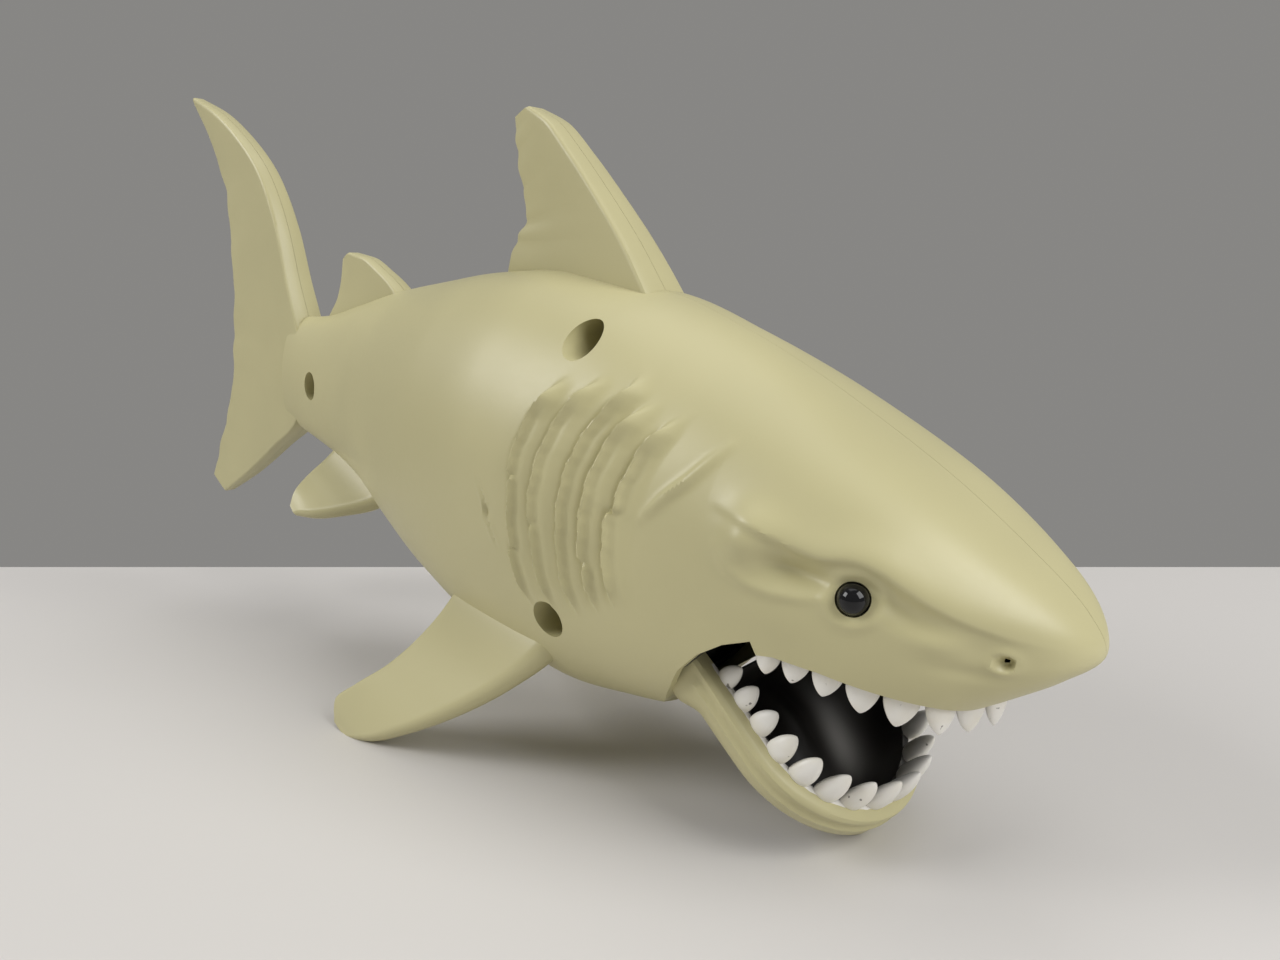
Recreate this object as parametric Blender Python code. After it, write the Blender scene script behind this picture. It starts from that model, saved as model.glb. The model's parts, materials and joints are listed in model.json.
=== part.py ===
"""Toy great white shark in moulded plastic, with a lower jaw that opens and shuts.

Two half shells meet at the middle plane and are held by three screws from the
right side. They trap the lower jaw by its two trunnions, the black mouth liner
with the upper teeth, and the two bead eyes.

Everything is drawn in the shark's own frame: the snout tip is the origin, +X
points out of the snout, +Z is up and -Y is the shark's right side. An empty
then tips the shark nose down, as it stands on its chin and its two front fins.
Lengths are in metres; tables of form points are in millimetres, by MM.
"""

import math

import bmesh
import bpy
import numpy as np
from mathutils import Matrix, Vector

MM = 0.001

# How the shark stands
PITCH = math.radians(10.0)        # nose down
STANDING_DROP = 0.0490            # snout tip above the table, before the flats
FLAT_DEPTH = 0.0004               # how much the chin and the fin tips are flattened

# Moulded shells
SEAM_GAP = 0.0003                 # between the two halves
CLEAR = 0.0003                    # between pieces that seat in each other
WALL = 0.0020                     # shell wall behind the head
HEAD_WALL = 0.0016                # shell wall round the mouth
GILL_LIFT = 0.0013                # height of each gill flap's free edge

# Jaw hinge and lower jaw
HINGE_BEHIND_SNOUT = 0.0705
HINGE_BELOW_SNOUT = 0.0180
JAW_OPEN = math.radians(35.5)
JAW_HALF_WIDTH = 0.0264
JAW_LENGTH = 0.0524               # hinge axis to the outside of the chin
JAW_REAR = 0.0138                 # hinge axis to the rear edge of the jaw's floor
JAW_BEND = 0.0294                 # hinge axis to where the sides start to curve in
JAW_ROUND = 1.95                  # fullness of the chin seen from above
JAW_SKIN = 0.0022
GUM_WIDTH = 0.0051
GUM_SINK = 0.0003                 # teeth past the gum's inner edge
ARM_THICKNESS = 0.0036
TRUNNION_RADIUS = 0.0024
TRUNNION_LENGTH = 0.0030
HINGE_BOSS_RADIUS = 0.0048
SWEEP_ROOM = 0.0006               # round the jaw's rear edge as it swings
TONGUE = (0.0260, 0.0098, 0.0125, 0.0085, 0.0034)  # from the axis, depth, and half sizes

# Teeth: width, thickness and height above the gum, at the front and at the rear
TEETH = 13
LOWER_FRONT = (0.0070, 0.0044, 0.0076)
LOWER_REAR = (0.0050, 0.0036, 0.0046)
UPPER_FRONT = (0.0072, 0.0034, 0.0058)
UPPER_REAR = (0.0046, 0.0028, 0.0036)
TOOTH_ROOT = 0.0022                       # how deep a tooth runs into its gum

# Mouth liner
LINER_THICKNESS = 0.0016
LINER_FRONT = 0.0132              # front edge behind the snout tip
LINER_BACK = 0.0790               # back wall behind the snout tip
LINER_FOOT = 0.0380               # lower end of the back wall under the snout tip
LINER_TEETH_END = 0.0450          # rear end of the tooth strip
ARM_ROOM = ((-0.0765, -0.0400), (-0.0765, -0.0080), (-0.0560, -0.0080), (-0.0560, -0.0400))

# Eyes
EYE_BEHIND_SNOUT = 0.0322
EYE_ABOVE_SNOUT = 0.0032
EYE_RADIUS = 0.0030
EYE_SINK = 0.0010                 # bead centre under the skin
EYE_STEM_RADIUS = 0.0011
EYE_STEM_LENGTH = 0.0044

# Screws, from the right side: name, distance behind the snout, height
SCREWS = (
    ("tail", 0.2165, -0.0080),
    ("back", 0.1028, 0.0300),
    ("flank", 0.0943, -0.0250),
)
RECESS_RADIUS = 0.0040
BOSS_RADIUS = 0.0055
SCREW_FLOOR = 0.0034              # boss floor under the head, from the middle plane
SCREW_HEAD_RADIUS = 0.0028
SCREW_HEAD_HEIGHT = 0.0020
SCREW_SHANK_RADIUS = 0.0013
SCREW_REACH = 0.0062              # shank past the middle plane, into the left boss
LEFT_BOSS_DEPTH = 0.0085          # pilot hole in the left boss

# Mesh counts
COLUMNS = 16                      # round the half body, from back to belly
LINING_COLUMNS = 8
BAR_SIDES = 14                    # round a boss, a hole or a pin
BEAD_SIDES = 10
TOOTH_SIDES, TOOTH_LEVELS = 7, 5

# Body form, millimetres: behind the snout, top, belly, half width, level of the
# widest point, fullness above it and below it (2 is an ellipse, more is squarer)
BODY = (
    (0.0, -1.6, -1.6, 0.0, -1.6, 2.0, 2.0),
    (1.0, 1.2, -4.8, 4.4, -1.8, 2.0, 2.1),
    (3.0, 3.4, -7.6, 8.0, -2.0, 2.1, 2.2),
    (5.0, 5.2, -9.8, 10.4, -2.2, 2.1, 2.3),
    (9.0, 8.0, -13.8, 14.2, -2.4, 2.2, 2.4),
    (14.0, 10.9, -18.0, 18.0, -2.6, 2.2, 2.5),
    (20.0, 14.2, -21.5, 22.0, -3.0, 2.2, 2.6),
    (34.0, 21.0, -25.5, 27.8, -3.4, 2.2, 2.8),
    (46.0, 25.8, -29.5, 30.2, -4.2, 2.2, 2.9),
    (62.0, 31.5, -36.8, 31.8, -6.0, 2.2, 2.9),
    (80.0, 36.5, -43.5, 33.2, -6.0, 2.1, 2.6),
    (101.0, 40.0, -48.5, 34.0, -6.0, 2.1, 2.4),
    (125.0, 39.8, -49.0, 33.0, -6.0, 2.1, 2.3),
    (148.0, 36.0, -44.8, 29.5, -6.0, 2.1, 2.2),
    (170.0, 29.8, -38.6, 23.5, -6.2, 2.0, 2.1),
    (189.0, 23.8, -32.2, 17.5, -6.8, 2.0, 2.0),
    (205.0, 17.5, -29.0, 12.6, -7.4, 2.0, 2.0),
    (222.0, 11.0, -27.0, 8.4, -8.2, 2.0, 2.0),
    (238.0, 7.6, -25.2, 5.6, -8.8, 2.0, 2.0),
)

# Rings along the body, millimetres behind the snout, without those of the gills
RINGS = (0.12, 1.2, 3.4, 7.0, 11.4, 15.6, 19.8, 23.8, 27.4, 30.8, 34.2, 38.0, 42.0,
         46.0, 50.0, 54.0, 58.4, 63.4, 69.4, 116.0, 128.0, 142.0, 158.0, 175.0,
         194.0, 216.0, 238.0)

# Gill edges, front to rear: behind the snout at their crown, top and bottom level
GILLS = (
    (81.0, 19.0, -13.0),
    (86.4, 20.0, -15.5),
    (92.6, 24.0, -18.0),
    (99.6, 22.0, -19.5),
    (106.8, 20.0, -21.0),
)
GILL_FRONT = 73.5                 # where the first flap starts to rise
GILL_CROWN_LEVEL = 4.0
GILL_BOW_UP = 0.016               # how fast an edge bends forward above its crown
GILL_BOW_DOWN = 0.011
GILL_BOW_LIMIT = 24.0
GILL_STEP = 0.35                  # half the thickness of the step at an edge

# Brow ridge: behind the snout, level, strength of the ridge, strength of the hollow
BROW = (
    (5.0, -2.3, 0.0, 0.0),
    (14.5, 1.5, 0.5, 0.1),
    (21.4, 4.1, 0.8, 0.25),
    (26.5, 6.3, 1.0, 0.6),
    (30.0, 8.4, 1.1, 0.8),
    (35.4, 9.5, 1.1, 0.8),
    (42.3, 8.2, 1.0, 1.0),
    (48.0, 7.9, 0.9, 0.9),
    (54.7, 9.6, 0.6, 0.2),
    (62.0, 11.0, 0.0, 0.0),
)
BROW_RISE = 1.1
BROW_HOLLOW = 1.9

# Single swells: behind the snout, level, length, height of the patch, lift
SWELLS = (
    (54.5, 9.0, 6.5, 5.0, 1.6),       # temple
    (20.0, -0.6, 4.6, 3.2, 1.1),      # nasal bulge
    (46.0, -4.0, 11.0, 5.0, 0.7),     # cheek
)

# Fold from behind the head to the first gill: points (behind the snout, level)
FOLD = ((74.0, 3.6), (66.9, 12.8), (62.4, 19.6))
FOLD_LIFT = 0.9
FOLD_WIDTH = 1.7

# Mouth opening in side view, millimetres (forward of the snout, level): the lip
# from the front to the corner, then the edge of the throat
LIP = ((6.0, -15.0), (-13.0, -15.0), (-19.0, -13.6), (-27.0, -12.9), (-36.0, -12.0),
       (-44.0, -12.0), (-47.0, -12.8), (-48.3, -10.6), (-53.5, -13.4), (-58.5, -17.6),
       (-62.5, -22.8))
THROAT = ((-65.0, -28.0), (-68.5, -34.0), (-73.5, -39.5), (-76.0, -52.0), (6.0, -60.0))

LINER_CUT = ((-66.0, -24.0), (-76.8, -24.0), (-76.8, -60.0), (6.0, -60.0))

# Jaw in side view, millimetres from the hinge axis: along, rim level, keel level
JAW_SIDE = (
    (-4.3, 0.3, -0.6),
    (-3.0, 1.9, -3.0),
    (0.0, 2.6, -4.4),
    (7.0, 2.6, -9.0),
    (13.8, 2.6, -14.6),
    (22.0, 2.6, -14.3),
    (30.0, 2.6, -13.6),
    (38.0, 2.6, -12.4),
    (46.0, 2.6, -10.7),
    (52.4, 2.6, -9.0),
)

# Fins on the middle plane: leading and trailing edge from root to tip, forward of
# the snout and level, with the half thickness along the leading edge
DORSAL = {
    "lead": ((-94.0, 32.0), (-101.0, 40.0), (-110.0, 49.2), (-119.0, 57.0), (-129.0, 65.0),
             (-138.0, 71.2), (-145.0, 73.4)),
    "trail": ((-147.0, 28.0), (-148.5, 36.0), (-146.5, 43.5), (-143.6, 48.5), (-146.2, 55.5),
              (-148.8, 63.5), (-150.8, 70.8)),
    "half": (7.0, 6.6, 5.8, 5.2, 4.6, 3.9, 2.6),
    "thin": 0.9,
    "rows": 11,
}
SECOND_DORSAL = {
    "lead": ((-182.0, 17.0), (-189.0, 24.4), (-197.0, 28.0), (-205.0, 30.4), (-212.0, 30.6)),
    "trail": ((-226.0, 3.0), (-221.0, 11.5), (-217.6, 17.0), (-216.2, 22.5), (-215.8, 28.2)),
    "half": (3.6, 3.1, 2.7, 2.4, 1.7),
    "thin": 0.9,
    "rows": 5,
}
CAUDAL = {
    "lead": ((-299.6, 65.6), (-286.0, 62.6), (-272.0, 57.0), (-257.0, 47.5), (-246.0, 33.5),
             (-238.5, 18.0), (-232.0, 5.5), (-228.0, -8.5), (-231.0, -22.0), (-246.0, -36.0),
             (-263.0, -50.0), (-277.0, -60.0)),
    "trail": ((-300.6, 63.6), (-291.0, 54.5), (-284.0, 45.0), (-278.5, 35.0), (-276.5, 22.0),
              (-275.0, 10.0), (-274.0, -1.0), (-274.0, -12.0), (-275.5, -24.0), (-278.5, -36.0),
              (-283.0, -48.0), (-286.5, -57.0)),
    "half": (1.7, 2.7, 3.1, 3.5, 4.0, 4.4, 4.6, 4.6, 4.2, 3.4, 2.8, 1.8),
    "thin": 0.9,
    "rows": 24,
    "scallops": 8,
    "scallop_depth": 0.8,
}

# Fins of the right side: leading and trailing edge points (forward, outward from
# the middle plane, level), with the half thickness along the leading edge
PECTORAL = {
    "lead": ((-92.0, 18.0, -26.0), (-96.5, 26.5, -36.5), (-105.0, 30.2, -46.8),
             (-116.0, 34.0, -57.2), (-128.0, 37.0, -66.5), (-139.0, 38.6, -73.6),
             (-146.5, 39.2, -76.6)),
    "trail": ((-127.0, 17.0, -22.0), (-130.0, 26.0, -36.0), (-136.0, 29.5, -47.5),
              (-142.5, 33.0, -56.5), (-150.0, 36.0, -64.0), (-155.6, 38.0, -70.5),
              (-153.8, 39.0, -75.2)),
    "half": (3.6, 3.3, 3.0, 2.8, 2.6, 2.3, 1.5),
    "thin": 1.0,
    "rows": 8,
}
PELVIC = {
    "lead": ((-178.0, 3.0, -27.0), (-183.0, 8.0, -34.0), (-190.0, 13.5, -37.6),
             (-198.0, 18.5, -40.4), (-203.5, 20.4, -41.2)),
    "trail": ((-206.0, 2.0, -20.0), (-209.0, 7.0, -27.0), (-209.5, 13.0, -32.0),
              (-208.5, 18.0, -36.0), (-206.8, 20.2, -39.4)),
    "half": (2.8, 2.5, 2.2, 2.0, 1.2),
    "thin": 0.9,
    "rows": 5,
}

PLASTIC = ("shark_plastic", (0.560, 0.535, 0.425), 0.38, 0.0)
BLACK = ("mouth_black", (0.012, 0.011, 0.010), 0.55, 0.0)
GLOSS = ("eye_black", (0.006, 0.006, 0.007), 0.08, 0.0)
STEEL = ("screw_steel", (0.50, 0.50, 0.49), 0.35, 1.0)


def clear_scene():
    """Remove what the scene holds before the shark is made."""
    for old in list(bpy.data.objects):
        bpy.data.objects.remove(old, do_unlink=True)
    for old in list(bpy.data.collections):
        bpy.data.collections.remove(old)


def make_collection(name):
    made = bpy.data.collections.new(name)
    bpy.context.scene.collection.children.link(made)
    return made


def make_material(recipe):
    """A Principled material from (name, colour, roughness, metallic)."""
    name, colour, roughness, metallic = recipe
    made = bpy.data.materials.get(name)
    if made:
        return made
    made = bpy.data.materials.new(name)
    made.use_nodes = True
    shader = made.node_tree.nodes["Principled BSDF"]
    shader.inputs["Base Color"].default_value = (*colour, 1.0)
    shader.inputs["Roughness"].default_value = roughness
    shader.inputs["Metallic"].default_value = metallic
    made.diffuse_color = (*colour, 1.0)
    return made


def hermite(xs, ys, x):
    """Smooth curve through the points without overshoot between them."""
    xs, ys = np.asarray(xs, float), np.asarray(ys, float)
    steps = np.diff(xs)
    slopes = np.diff(ys) / steps
    tangents = np.zeros(len(xs))
    tangents[0], tangents[-1] = slopes[0], slopes[-1]
    for k in range(1, len(xs) - 1):
        before, after = slopes[k - 1], slopes[k]
        if before * after > 0.0:
            w1 = 2.0 * steps[k] + steps[k - 1]
            w2 = steps[k] + 2.0 * steps[k - 1]
            tangents[k] = (w1 + w2) / (w1 / before + w2 / after)
    x = min(max(x, xs[0]), xs[-1])
    k = min(max(int(np.searchsorted(xs, x)) - 1, 0), len(xs) - 2)
    h = steps[k]
    t = (x - xs[k]) / h
    return (ys[k] * (1 + 2 * t) * (1 - t) ** 2 + tangents[k] * h * t * (1 - t) ** 2
            + ys[k + 1] * t * t * (3 - 2 * t) + tangents[k + 1] * h * t * t * (t - 1))


def through(points, t):
    """Point at share t along a smooth curve through evenly spaced points."""
    ks = np.arange(len(points))
    at = t * (len(points) - 1)
    columns = np.asarray(points, float)
    if columns.ndim == 1:
        return hermite(ks, columns, at)
    return np.array([hermite(ks, columns[:, c], at) for c in range(columns.shape[1])])


def station(s):
    """Body values at s millimetres behind the snout; the root of s rounds the tip."""
    roots = [math.sqrt(row[0]) for row in BODY]
    return [hermite(roots, [row[c] for row in BODY], math.sqrt(max(s, 0.0)))
            for c in range(1, 7)]


def smoothstep(low, high, x):
    t = min(max((x - low) / (high - low), 0.0), 1.0)
    return t * t * (3.0 - 2.0 * t)


def gill_bow(level):
    """How far a gill edge lies in front of its crown, at a level."""
    reach = min(max(level, -GILL_BOW_LIMIT), GILL_BOW_LIMIT) - GILL_CROWN_LEVEL
    return (GILL_BOW_UP if reach > 0.0 else GILL_BOW_DOWN) * reach * reach


def gill_lift(s, level):
    """Saw-tooth of the gill flaps: each rises to its rear edge and drops there."""
    front = GILL_FRONT
    for crown, top, bottom in GILLS:
        if front < s <= crown:
            share = (s - front) / (crown - front)
            window = smoothstep(bottom - 2.5, bottom + 1.5, level)
            window *= 1.0 - smoothstep(top - 1.5, top + 2.5, level)
            return GILL_LIFT / MM * share * window
        front = crown
    return 0.0


def fold_lift(s, level):
    """Raised crease along the FOLD line."""
    here = np.array((s, level))
    nearest = 1e9
    for a, b in zip(FOLD[:-1], FOLD[1:]):
        a, b = np.array(a), np.array(b)
        t = np.clip(np.dot(here - a, b - a) / np.dot(b - a, b - a), 0.0, 1.0)
        nearest = min(nearest, np.linalg.norm(here - a - t * (b - a)))
    return FOLD_LIFT * math.exp(-(nearest / FOLD_WIDTH) ** 2)


def face_lift(s, level):
    """Brow ridge, the hollow under it, and the single swells of the head."""
    if s > 80.0:
        return 0.0
    places = [row[0] for row in BROW]
    ridge, rise, hollow = (hermite(places, [row[c] for row in BROW], s) for c in (1, 2, 3))
    t = level - ridge
    lift = BROW_RISE * rise * math.exp(-(t / 2.0) ** 2)
    lift -= BROW_HOLLOW * hollow * math.exp(-((t + 5.0) / 2.9) ** 2)
    for s0, z0, length, height, amount in SWELLS:
        lift += amount * math.exp(-((s - s0) / length) ** 2 - ((level - z0) / height) ** 2)
    return lift * smoothstep(0.0, 12.0, s)


def skin_point(s, angle, inset=0.0, crown=None):
    """Point of the right half's skin: angle 0 is the back, pi the belly.

    crown is the ring's own place, which the gill steps follow; inset moves the
    point inwards, for the hollow and for what seats in it.
    """
    top, belly, half, middle, full_up, full_down = station(s)
    up = math.cos(angle) >= 0.0
    full = full_up if up else full_down
    height = max((top - middle) if up else (middle - belly), 0.02)
    c, r = abs(math.cos(angle)), abs(math.sin(angle))
    y = half * r ** (2.0 / full)
    z = height * c ** (2.0 / full)
    across = (y / max(half, 0.02)) ** (full - 1.0) / max(half, 0.02)
    along = (z / height) ** (full - 1.0) / height
    length = math.hypot(across, along) or 1.0
    across, along = across / length, along / length * (1.0 if up else -1.0)
    level = middle + (z if up else -z)
    lift = face_lift(s, level) * smoothstep(0.0, 0.35, r)
    if crown is not None:
        lift += gill_lift(crown, level) + fold_lift(s, level)
    lift -= inset
    return (-s, -max(y + across * lift, 0.0), level + along * lift)


def column_angles(count, crowding=0.32):
    """Angles round the half section, closer together on the flank."""
    shares = np.linspace(0.0, 1.0, count + 1)
    return math.pi * (shares + crowding * np.sin(2.0 * math.pi * shares) / (2.0 * math.pi))


def face_angles(place):
    """Column angles of a ring, crowded round the eye and the brow on the head."""
    face = smoothstep(8.0, 20.0, place) * (1.0 - smoothstep(58.0, 74.0, place))
    return column_angles(COLUMNS, 0.32 + 0.40 * face) - 0.10 * face * np.sin(column_angles(COLUMNS))


def ring_places():
    """Ring places along the body, with two rings at each gill edge."""
    places = list(RINGS)
    front = GILL_FRONT + 3.0
    for crown, _top, _bottom in GILLS:
        places += [0.5 * (front + crown), crown, crown + 2.0 * GILL_STEP]
        front = crown
    return sorted(places)


def body_ring(place, angles, inset=0.0, gills=True):
    """One closed ring of the right half, bowed like the gill edges near them."""
    warp = smoothstep(62.0, 80.0, place) * (1.0 - smoothstep(108.0, 128.0, place))
    ring = []
    for angle in angles:
        level = skin_point(place, angle)[2]
        s = place - warp * gill_bow(level) if gills else place
        ring.append(skin_point(s, angle, inset, place if gills else None))
    return ring


def on_side(points, side):
    """Right-half points in millimetres as metres on a side, clear of the seam."""
    return [Vector((x * MM, side * (abs(y) * MM + 0.5 * SEAM_GAP), z * MM)) for x, y, z in points]


def loft(name, rings):
    """Closed solid through rings of equal count, with flat ends."""
    bm = bmesh.new()
    rows = [[bm.verts.new(p) for p in ring] for ring in rings]
    count = len(rings[0])
    for low, high in zip(rows[:-1], rows[1:]):
        for k in range(count):
            n = (k + 1) % count
            bm.faces.new((low[k], low[n], high[n], high[k]))
    bm.faces.new(rows[0])
    bm.faces.new(rows[-1])
    bmesh.ops.remove_doubles(bm, verts=bm.verts, dist=0.00002)
    bmesh.ops.dissolve_degenerate(bm, dist=0.00001, edges=bm.edges)
    bmesh.ops.triangulate(bm, faces=bm.faces, quad_method="SHORT_EDGE")
    bmesh.ops.recalc_face_normals(bm, faces=bm.faces)
    return finish_mesh(name, bm)


def finish_mesh(name, bm):
    made = bpy.data.meshes.new(name)
    bm.to_mesh(made)
    bm.free()
    return made


def prism(name, outline, low_y, high_y):
    """Outline in the XZ plane, metres, pulled from low_y to high_y."""
    rings = [[Vector((x, y, z)) for x, z in outline] for y in (low_y, high_y)]
    return loft(name, rings)


def cylinder(name, radius, start, end):
    """Round bar from start to end."""
    axis = end - start
    bm = bmesh.new()
    turn = axis.to_track_quat("Z", "Y").to_matrix().to_4x4()
    place = Matrix.Translation((start + end) * 0.5) @ turn
    bmesh.ops.create_cone(bm, cap_ends=True, segments=BAR_SIDES, radius1=radius, radius2=radius,
                          depth=axis.length, matrix=place)
    return finish_mesh(name, bm)


def add_object(name, mesh, recipe, parent, collection):
    """Named piece with its own material."""
    made = bpy.data.objects.new(name, mesh)
    mesh.materials.clear()
    mesh.materials.append(make_material(recipe))
    collection.objects.link(made)
    made.parent = parent
    mesh.shade_smooth()
    mesh.set_sharp_from_angle(angle=math.radians(38.0))
    return made


def add_cutter(name, mesh, parent, collection):
    """Shape that only cuts or joins another."""
    made = bpy.data.objects.new(name, mesh)
    collection.objects.link(made)
    made.parent = parent
    made.hide_render = True
    made.display_type = "WIRE"
    return made


def combine(target, other, operation):
    """Exact Boolean of another object on the target."""
    step = target.modifiers.new(f"{operation.lower()}_{other.name}", "BOOLEAN")
    step.operation = operation
    step.solver = "EXACT"
    step.object = other


def plane_fin(name, shape, side):
    """Half of a fin on the middle plane: blunt leading face, thin trailing edge."""
    rings = []
    rows = shape["rows"]
    for row in range(rows + 1):
        t = row / rows
        lead, trail = through(shape["lead"], t), through(shape["trail"], t)
        half = float(through(shape["half"], t))
        thin = min(shape["thin"], half)
        if shape.get("scallops"):
            wave = abs(math.sin(math.pi * shape["scallops"] * t))
            fade = smoothstep(0.10, 0.22, t) * (1.0 - smoothstep(0.85, 0.95, t))
            trail = trail + np.array((-shape["scallop_depth"] * (wave - 0.5) * fade, 0.0))
        chord = trail - lead
        reach = max(float(np.linalg.norm(chord)), 0.6)
        corner = min(1.3, 0.3 * reach) / reach
        section = [(0.0, 0.0), (0.0, half - 0.35 * half), (corner * 0.35, half - 0.12 * half),
                   (corner, half)]
        for share in (0.42, 0.78):
            section.append((share, half + (thin - half) * share ** 1.15))
        section += [(1.0, thin), (1.0, 0.0)]
        rings.append([(lead[0] + chord[0] * u, h, lead[1] + chord[1] * u) for u, h in section])
    return loft(name, [on_side(ring, side) for ring in rings])


def side_fin(name, shape, side):
    """Paired fin: a blade between two edge curves, blunt in front and thin behind."""
    rings = []
    rows = shape["rows"]
    for row in range(rows + 1):
        t = row / rows
        lead, trail = through(shape["lead"], t), through(shape["trail"], t)
        ahead, behind = through(shape["lead"], max(t - 0.04, 0.0)), through(shape["lead"], min(t + 0.04, 1.0))
        half = float(through(shape["half"], t))
        thin = min(shape["thin"], half)
        chord = trail - lead
        normal = np.cross(chord, behind - ahead)
        normal /= np.linalg.norm(normal)
        reach = float(np.linalg.norm(chord))
        nose = min(0.8 * half, 0.3 * reach) / reach
        upper = [(0.0, 0.45 * half), (0.35 * nose, 0.86 * half), (nose, half),
                 (0.45, half + (thin - half) * 0.42), (0.78, half + (thin - half) * 0.80), (1.0, thin * 0.6)]
        section = upper + [(u, -h) for u, h in reversed(upper)]
        rings.append([lead + chord * u + normal * h for u, h in section])
    made = [[Vector((p[0] * MM, side * p[1] * MM, p[2] * MM)) for p in ring] for ring in rings]
    return loft(name, made)


def wall_at(s):
    """Wall thickness in millimetres at a place: thicker round the mouth."""
    blend = smoothstep(60.0, 78.0, s)
    return (HEAD_WALL + (WALL - HEAD_WALL) * blend) / MM


def lining(name, side, extra, places):
    """Half body of the hollow, inset by the wall and an extra clearance."""
    angles = column_angles(LINING_COLUMNS)
    rings = [body_ring(s, angles, wall_at(s) + extra / MM, gills=False) for s in places]
    return loft(name, [on_side(ring, side) for ring in rings])


def lining_places():
    return [8.0, 11.0, 15.0, 20.0, 27.0, 36.0, 47.0, 58.0, 69.0, 80.0, 98.0, 120.0,
            144.0, 168.0, 192.0, 210.0, 226.0]


def hinge_point():
    return Vector((-HINGE_BEHIND_SNOUT, 0.0, -HINGE_BELOW_SNOUT))


def on_axis(behind, level, y):
    return Vector((-behind, y, level))


def skin_reach(behind, level):
    """Distance from the middle plane to the skin, in metres, at a place and level."""
    upper, lower = 0.05, math.pi - 0.05
    for _halving in range(18):
        angle = 0.5 * (upper + lower)
        _x, y, z = skin_point(behind / MM, angle, 0.0, behind / MM)
        if z > level / MM:
            upper = angle
        else:
            lower = angle
    return -y * MM


def make_hollow(side, label, rig, cutters):
    """Hollow of one half, with the screw and hinge bosses left standing in it."""
    hollow = add_cutter(f"hollow_{label}", lining(f"hollow_{label}", side, 0.0, lining_places()),
                        rig, cutters)
    for name, behind, level in SCREWS:
        post = cylinder(f"post_{name}_{label}", BOSS_RADIUS, on_axis(behind, level, 0.0),
                        on_axis(behind, level, side * 0.06))
        combine(hollow, add_cutter(f"post_{name}_{label}", post, rig, cutters), "DIFFERENCE")
    arm = JAW_HALF_WIDTH + CLEAR
    post = cylinder(f"post_hinge_{label}", HINGE_BOSS_RADIUS,
                    hinge_point() + Vector((0.0, side * arm, 0.0)),
                    hinge_point() + Vector((0.0, side * 0.06, 0.0)))
    combine(hollow, add_cutter(f"post_hinge_{label}", post, rig, cutters), "DIFFERENCE")
    return hollow


def make_mouth_cut(rig, cutters):
    """Opening of the mouth and throat, through both halves."""
    outline = [(x * MM, z * MM) for x, z in LIP + THROAT]
    return add_cutter("mouth_cut", prism("mouth_cut", outline, -0.06, 0.06), rig, cutters)


def make_sweep_cut(rig, cutters):
    """Room for the rear edge of the jaw's floor as it swings: a spindle round the axis."""
    rings = []
    for point in jaw_ring(JAW_REAR):
        radius = math.hypot(JAW_REAR, point.z) + SWEEP_ROOM
        reach = point.y + math.copysign(SWEEP_ROOM, point.y)
        rings.append([hinge_point() + Vector((radius * math.cos(q), reach, radius * math.sin(q)))
                      for q in np.linspace(0.0, 2.0 * math.pi, 2 * BAR_SIDES, endpoint=False)])
    return add_cutter("jaw_sweep", loft("jaw_sweep", rings[1:-1]), rig, cutters)


def make_ground_cut(rig, cutters):
    """Block under the table top, which flattens what stands on it."""
    turn = Matrix.Rotation(-PITCH, 4, "Y")
    bm = bmesh.new()
    bmesh.ops.create_cube(bm, size=1.0)
    bmesh.ops.scale(bm, vec=(0.5, 0.2, 0.1), verts=bm.verts)
    drop = -STANDING_DROP + FLAT_DEPTH - 0.05
    bmesh.ops.transform(bm, matrix=turn @ Matrix.Translation((-0.1, 0.0, drop)), verts=bm.verts)
    return add_cutter("table_cut", finish_mesh("table_cut", bm), rig, cutters)


def make_shell(side, label, rig, parts, cutters, shared):
    """One moulded half of the shark, with its fins, bosses and holes."""
    rings = [on_side(body_ring(place, face_angles(place)), side) for place in ring_places()]
    shell = add_object(f"body_shell_{label}", loft(f"body_shell_{label}", rings), PLASTIC, rig, parts)
    fins = (("dorsal", plane_fin, DORSAL), ("second_dorsal", plane_fin, SECOND_DORSAL),
            ("caudal", plane_fin, CAUDAL), ("pectoral", side_fin, PECTORAL),
            ("pelvic", side_fin, PELVIC))
    for name, maker, shape in fins:
        fin = add_cutter(f"{name}_{label}", maker(f"{name}_{label}", shape, side), rig, cutters)
        combine(shell, fin, "UNION")
    combine(shell, make_hollow(side, label, rig, cutters), "DIFFERENCE")
    for cut in shared:
        combine(shell, cut, "DIFFERENCE")
    for cut in make_holes(side, label, rig, cutters):
        combine(shell, cut, "DIFFERENCE")
    return shell


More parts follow.
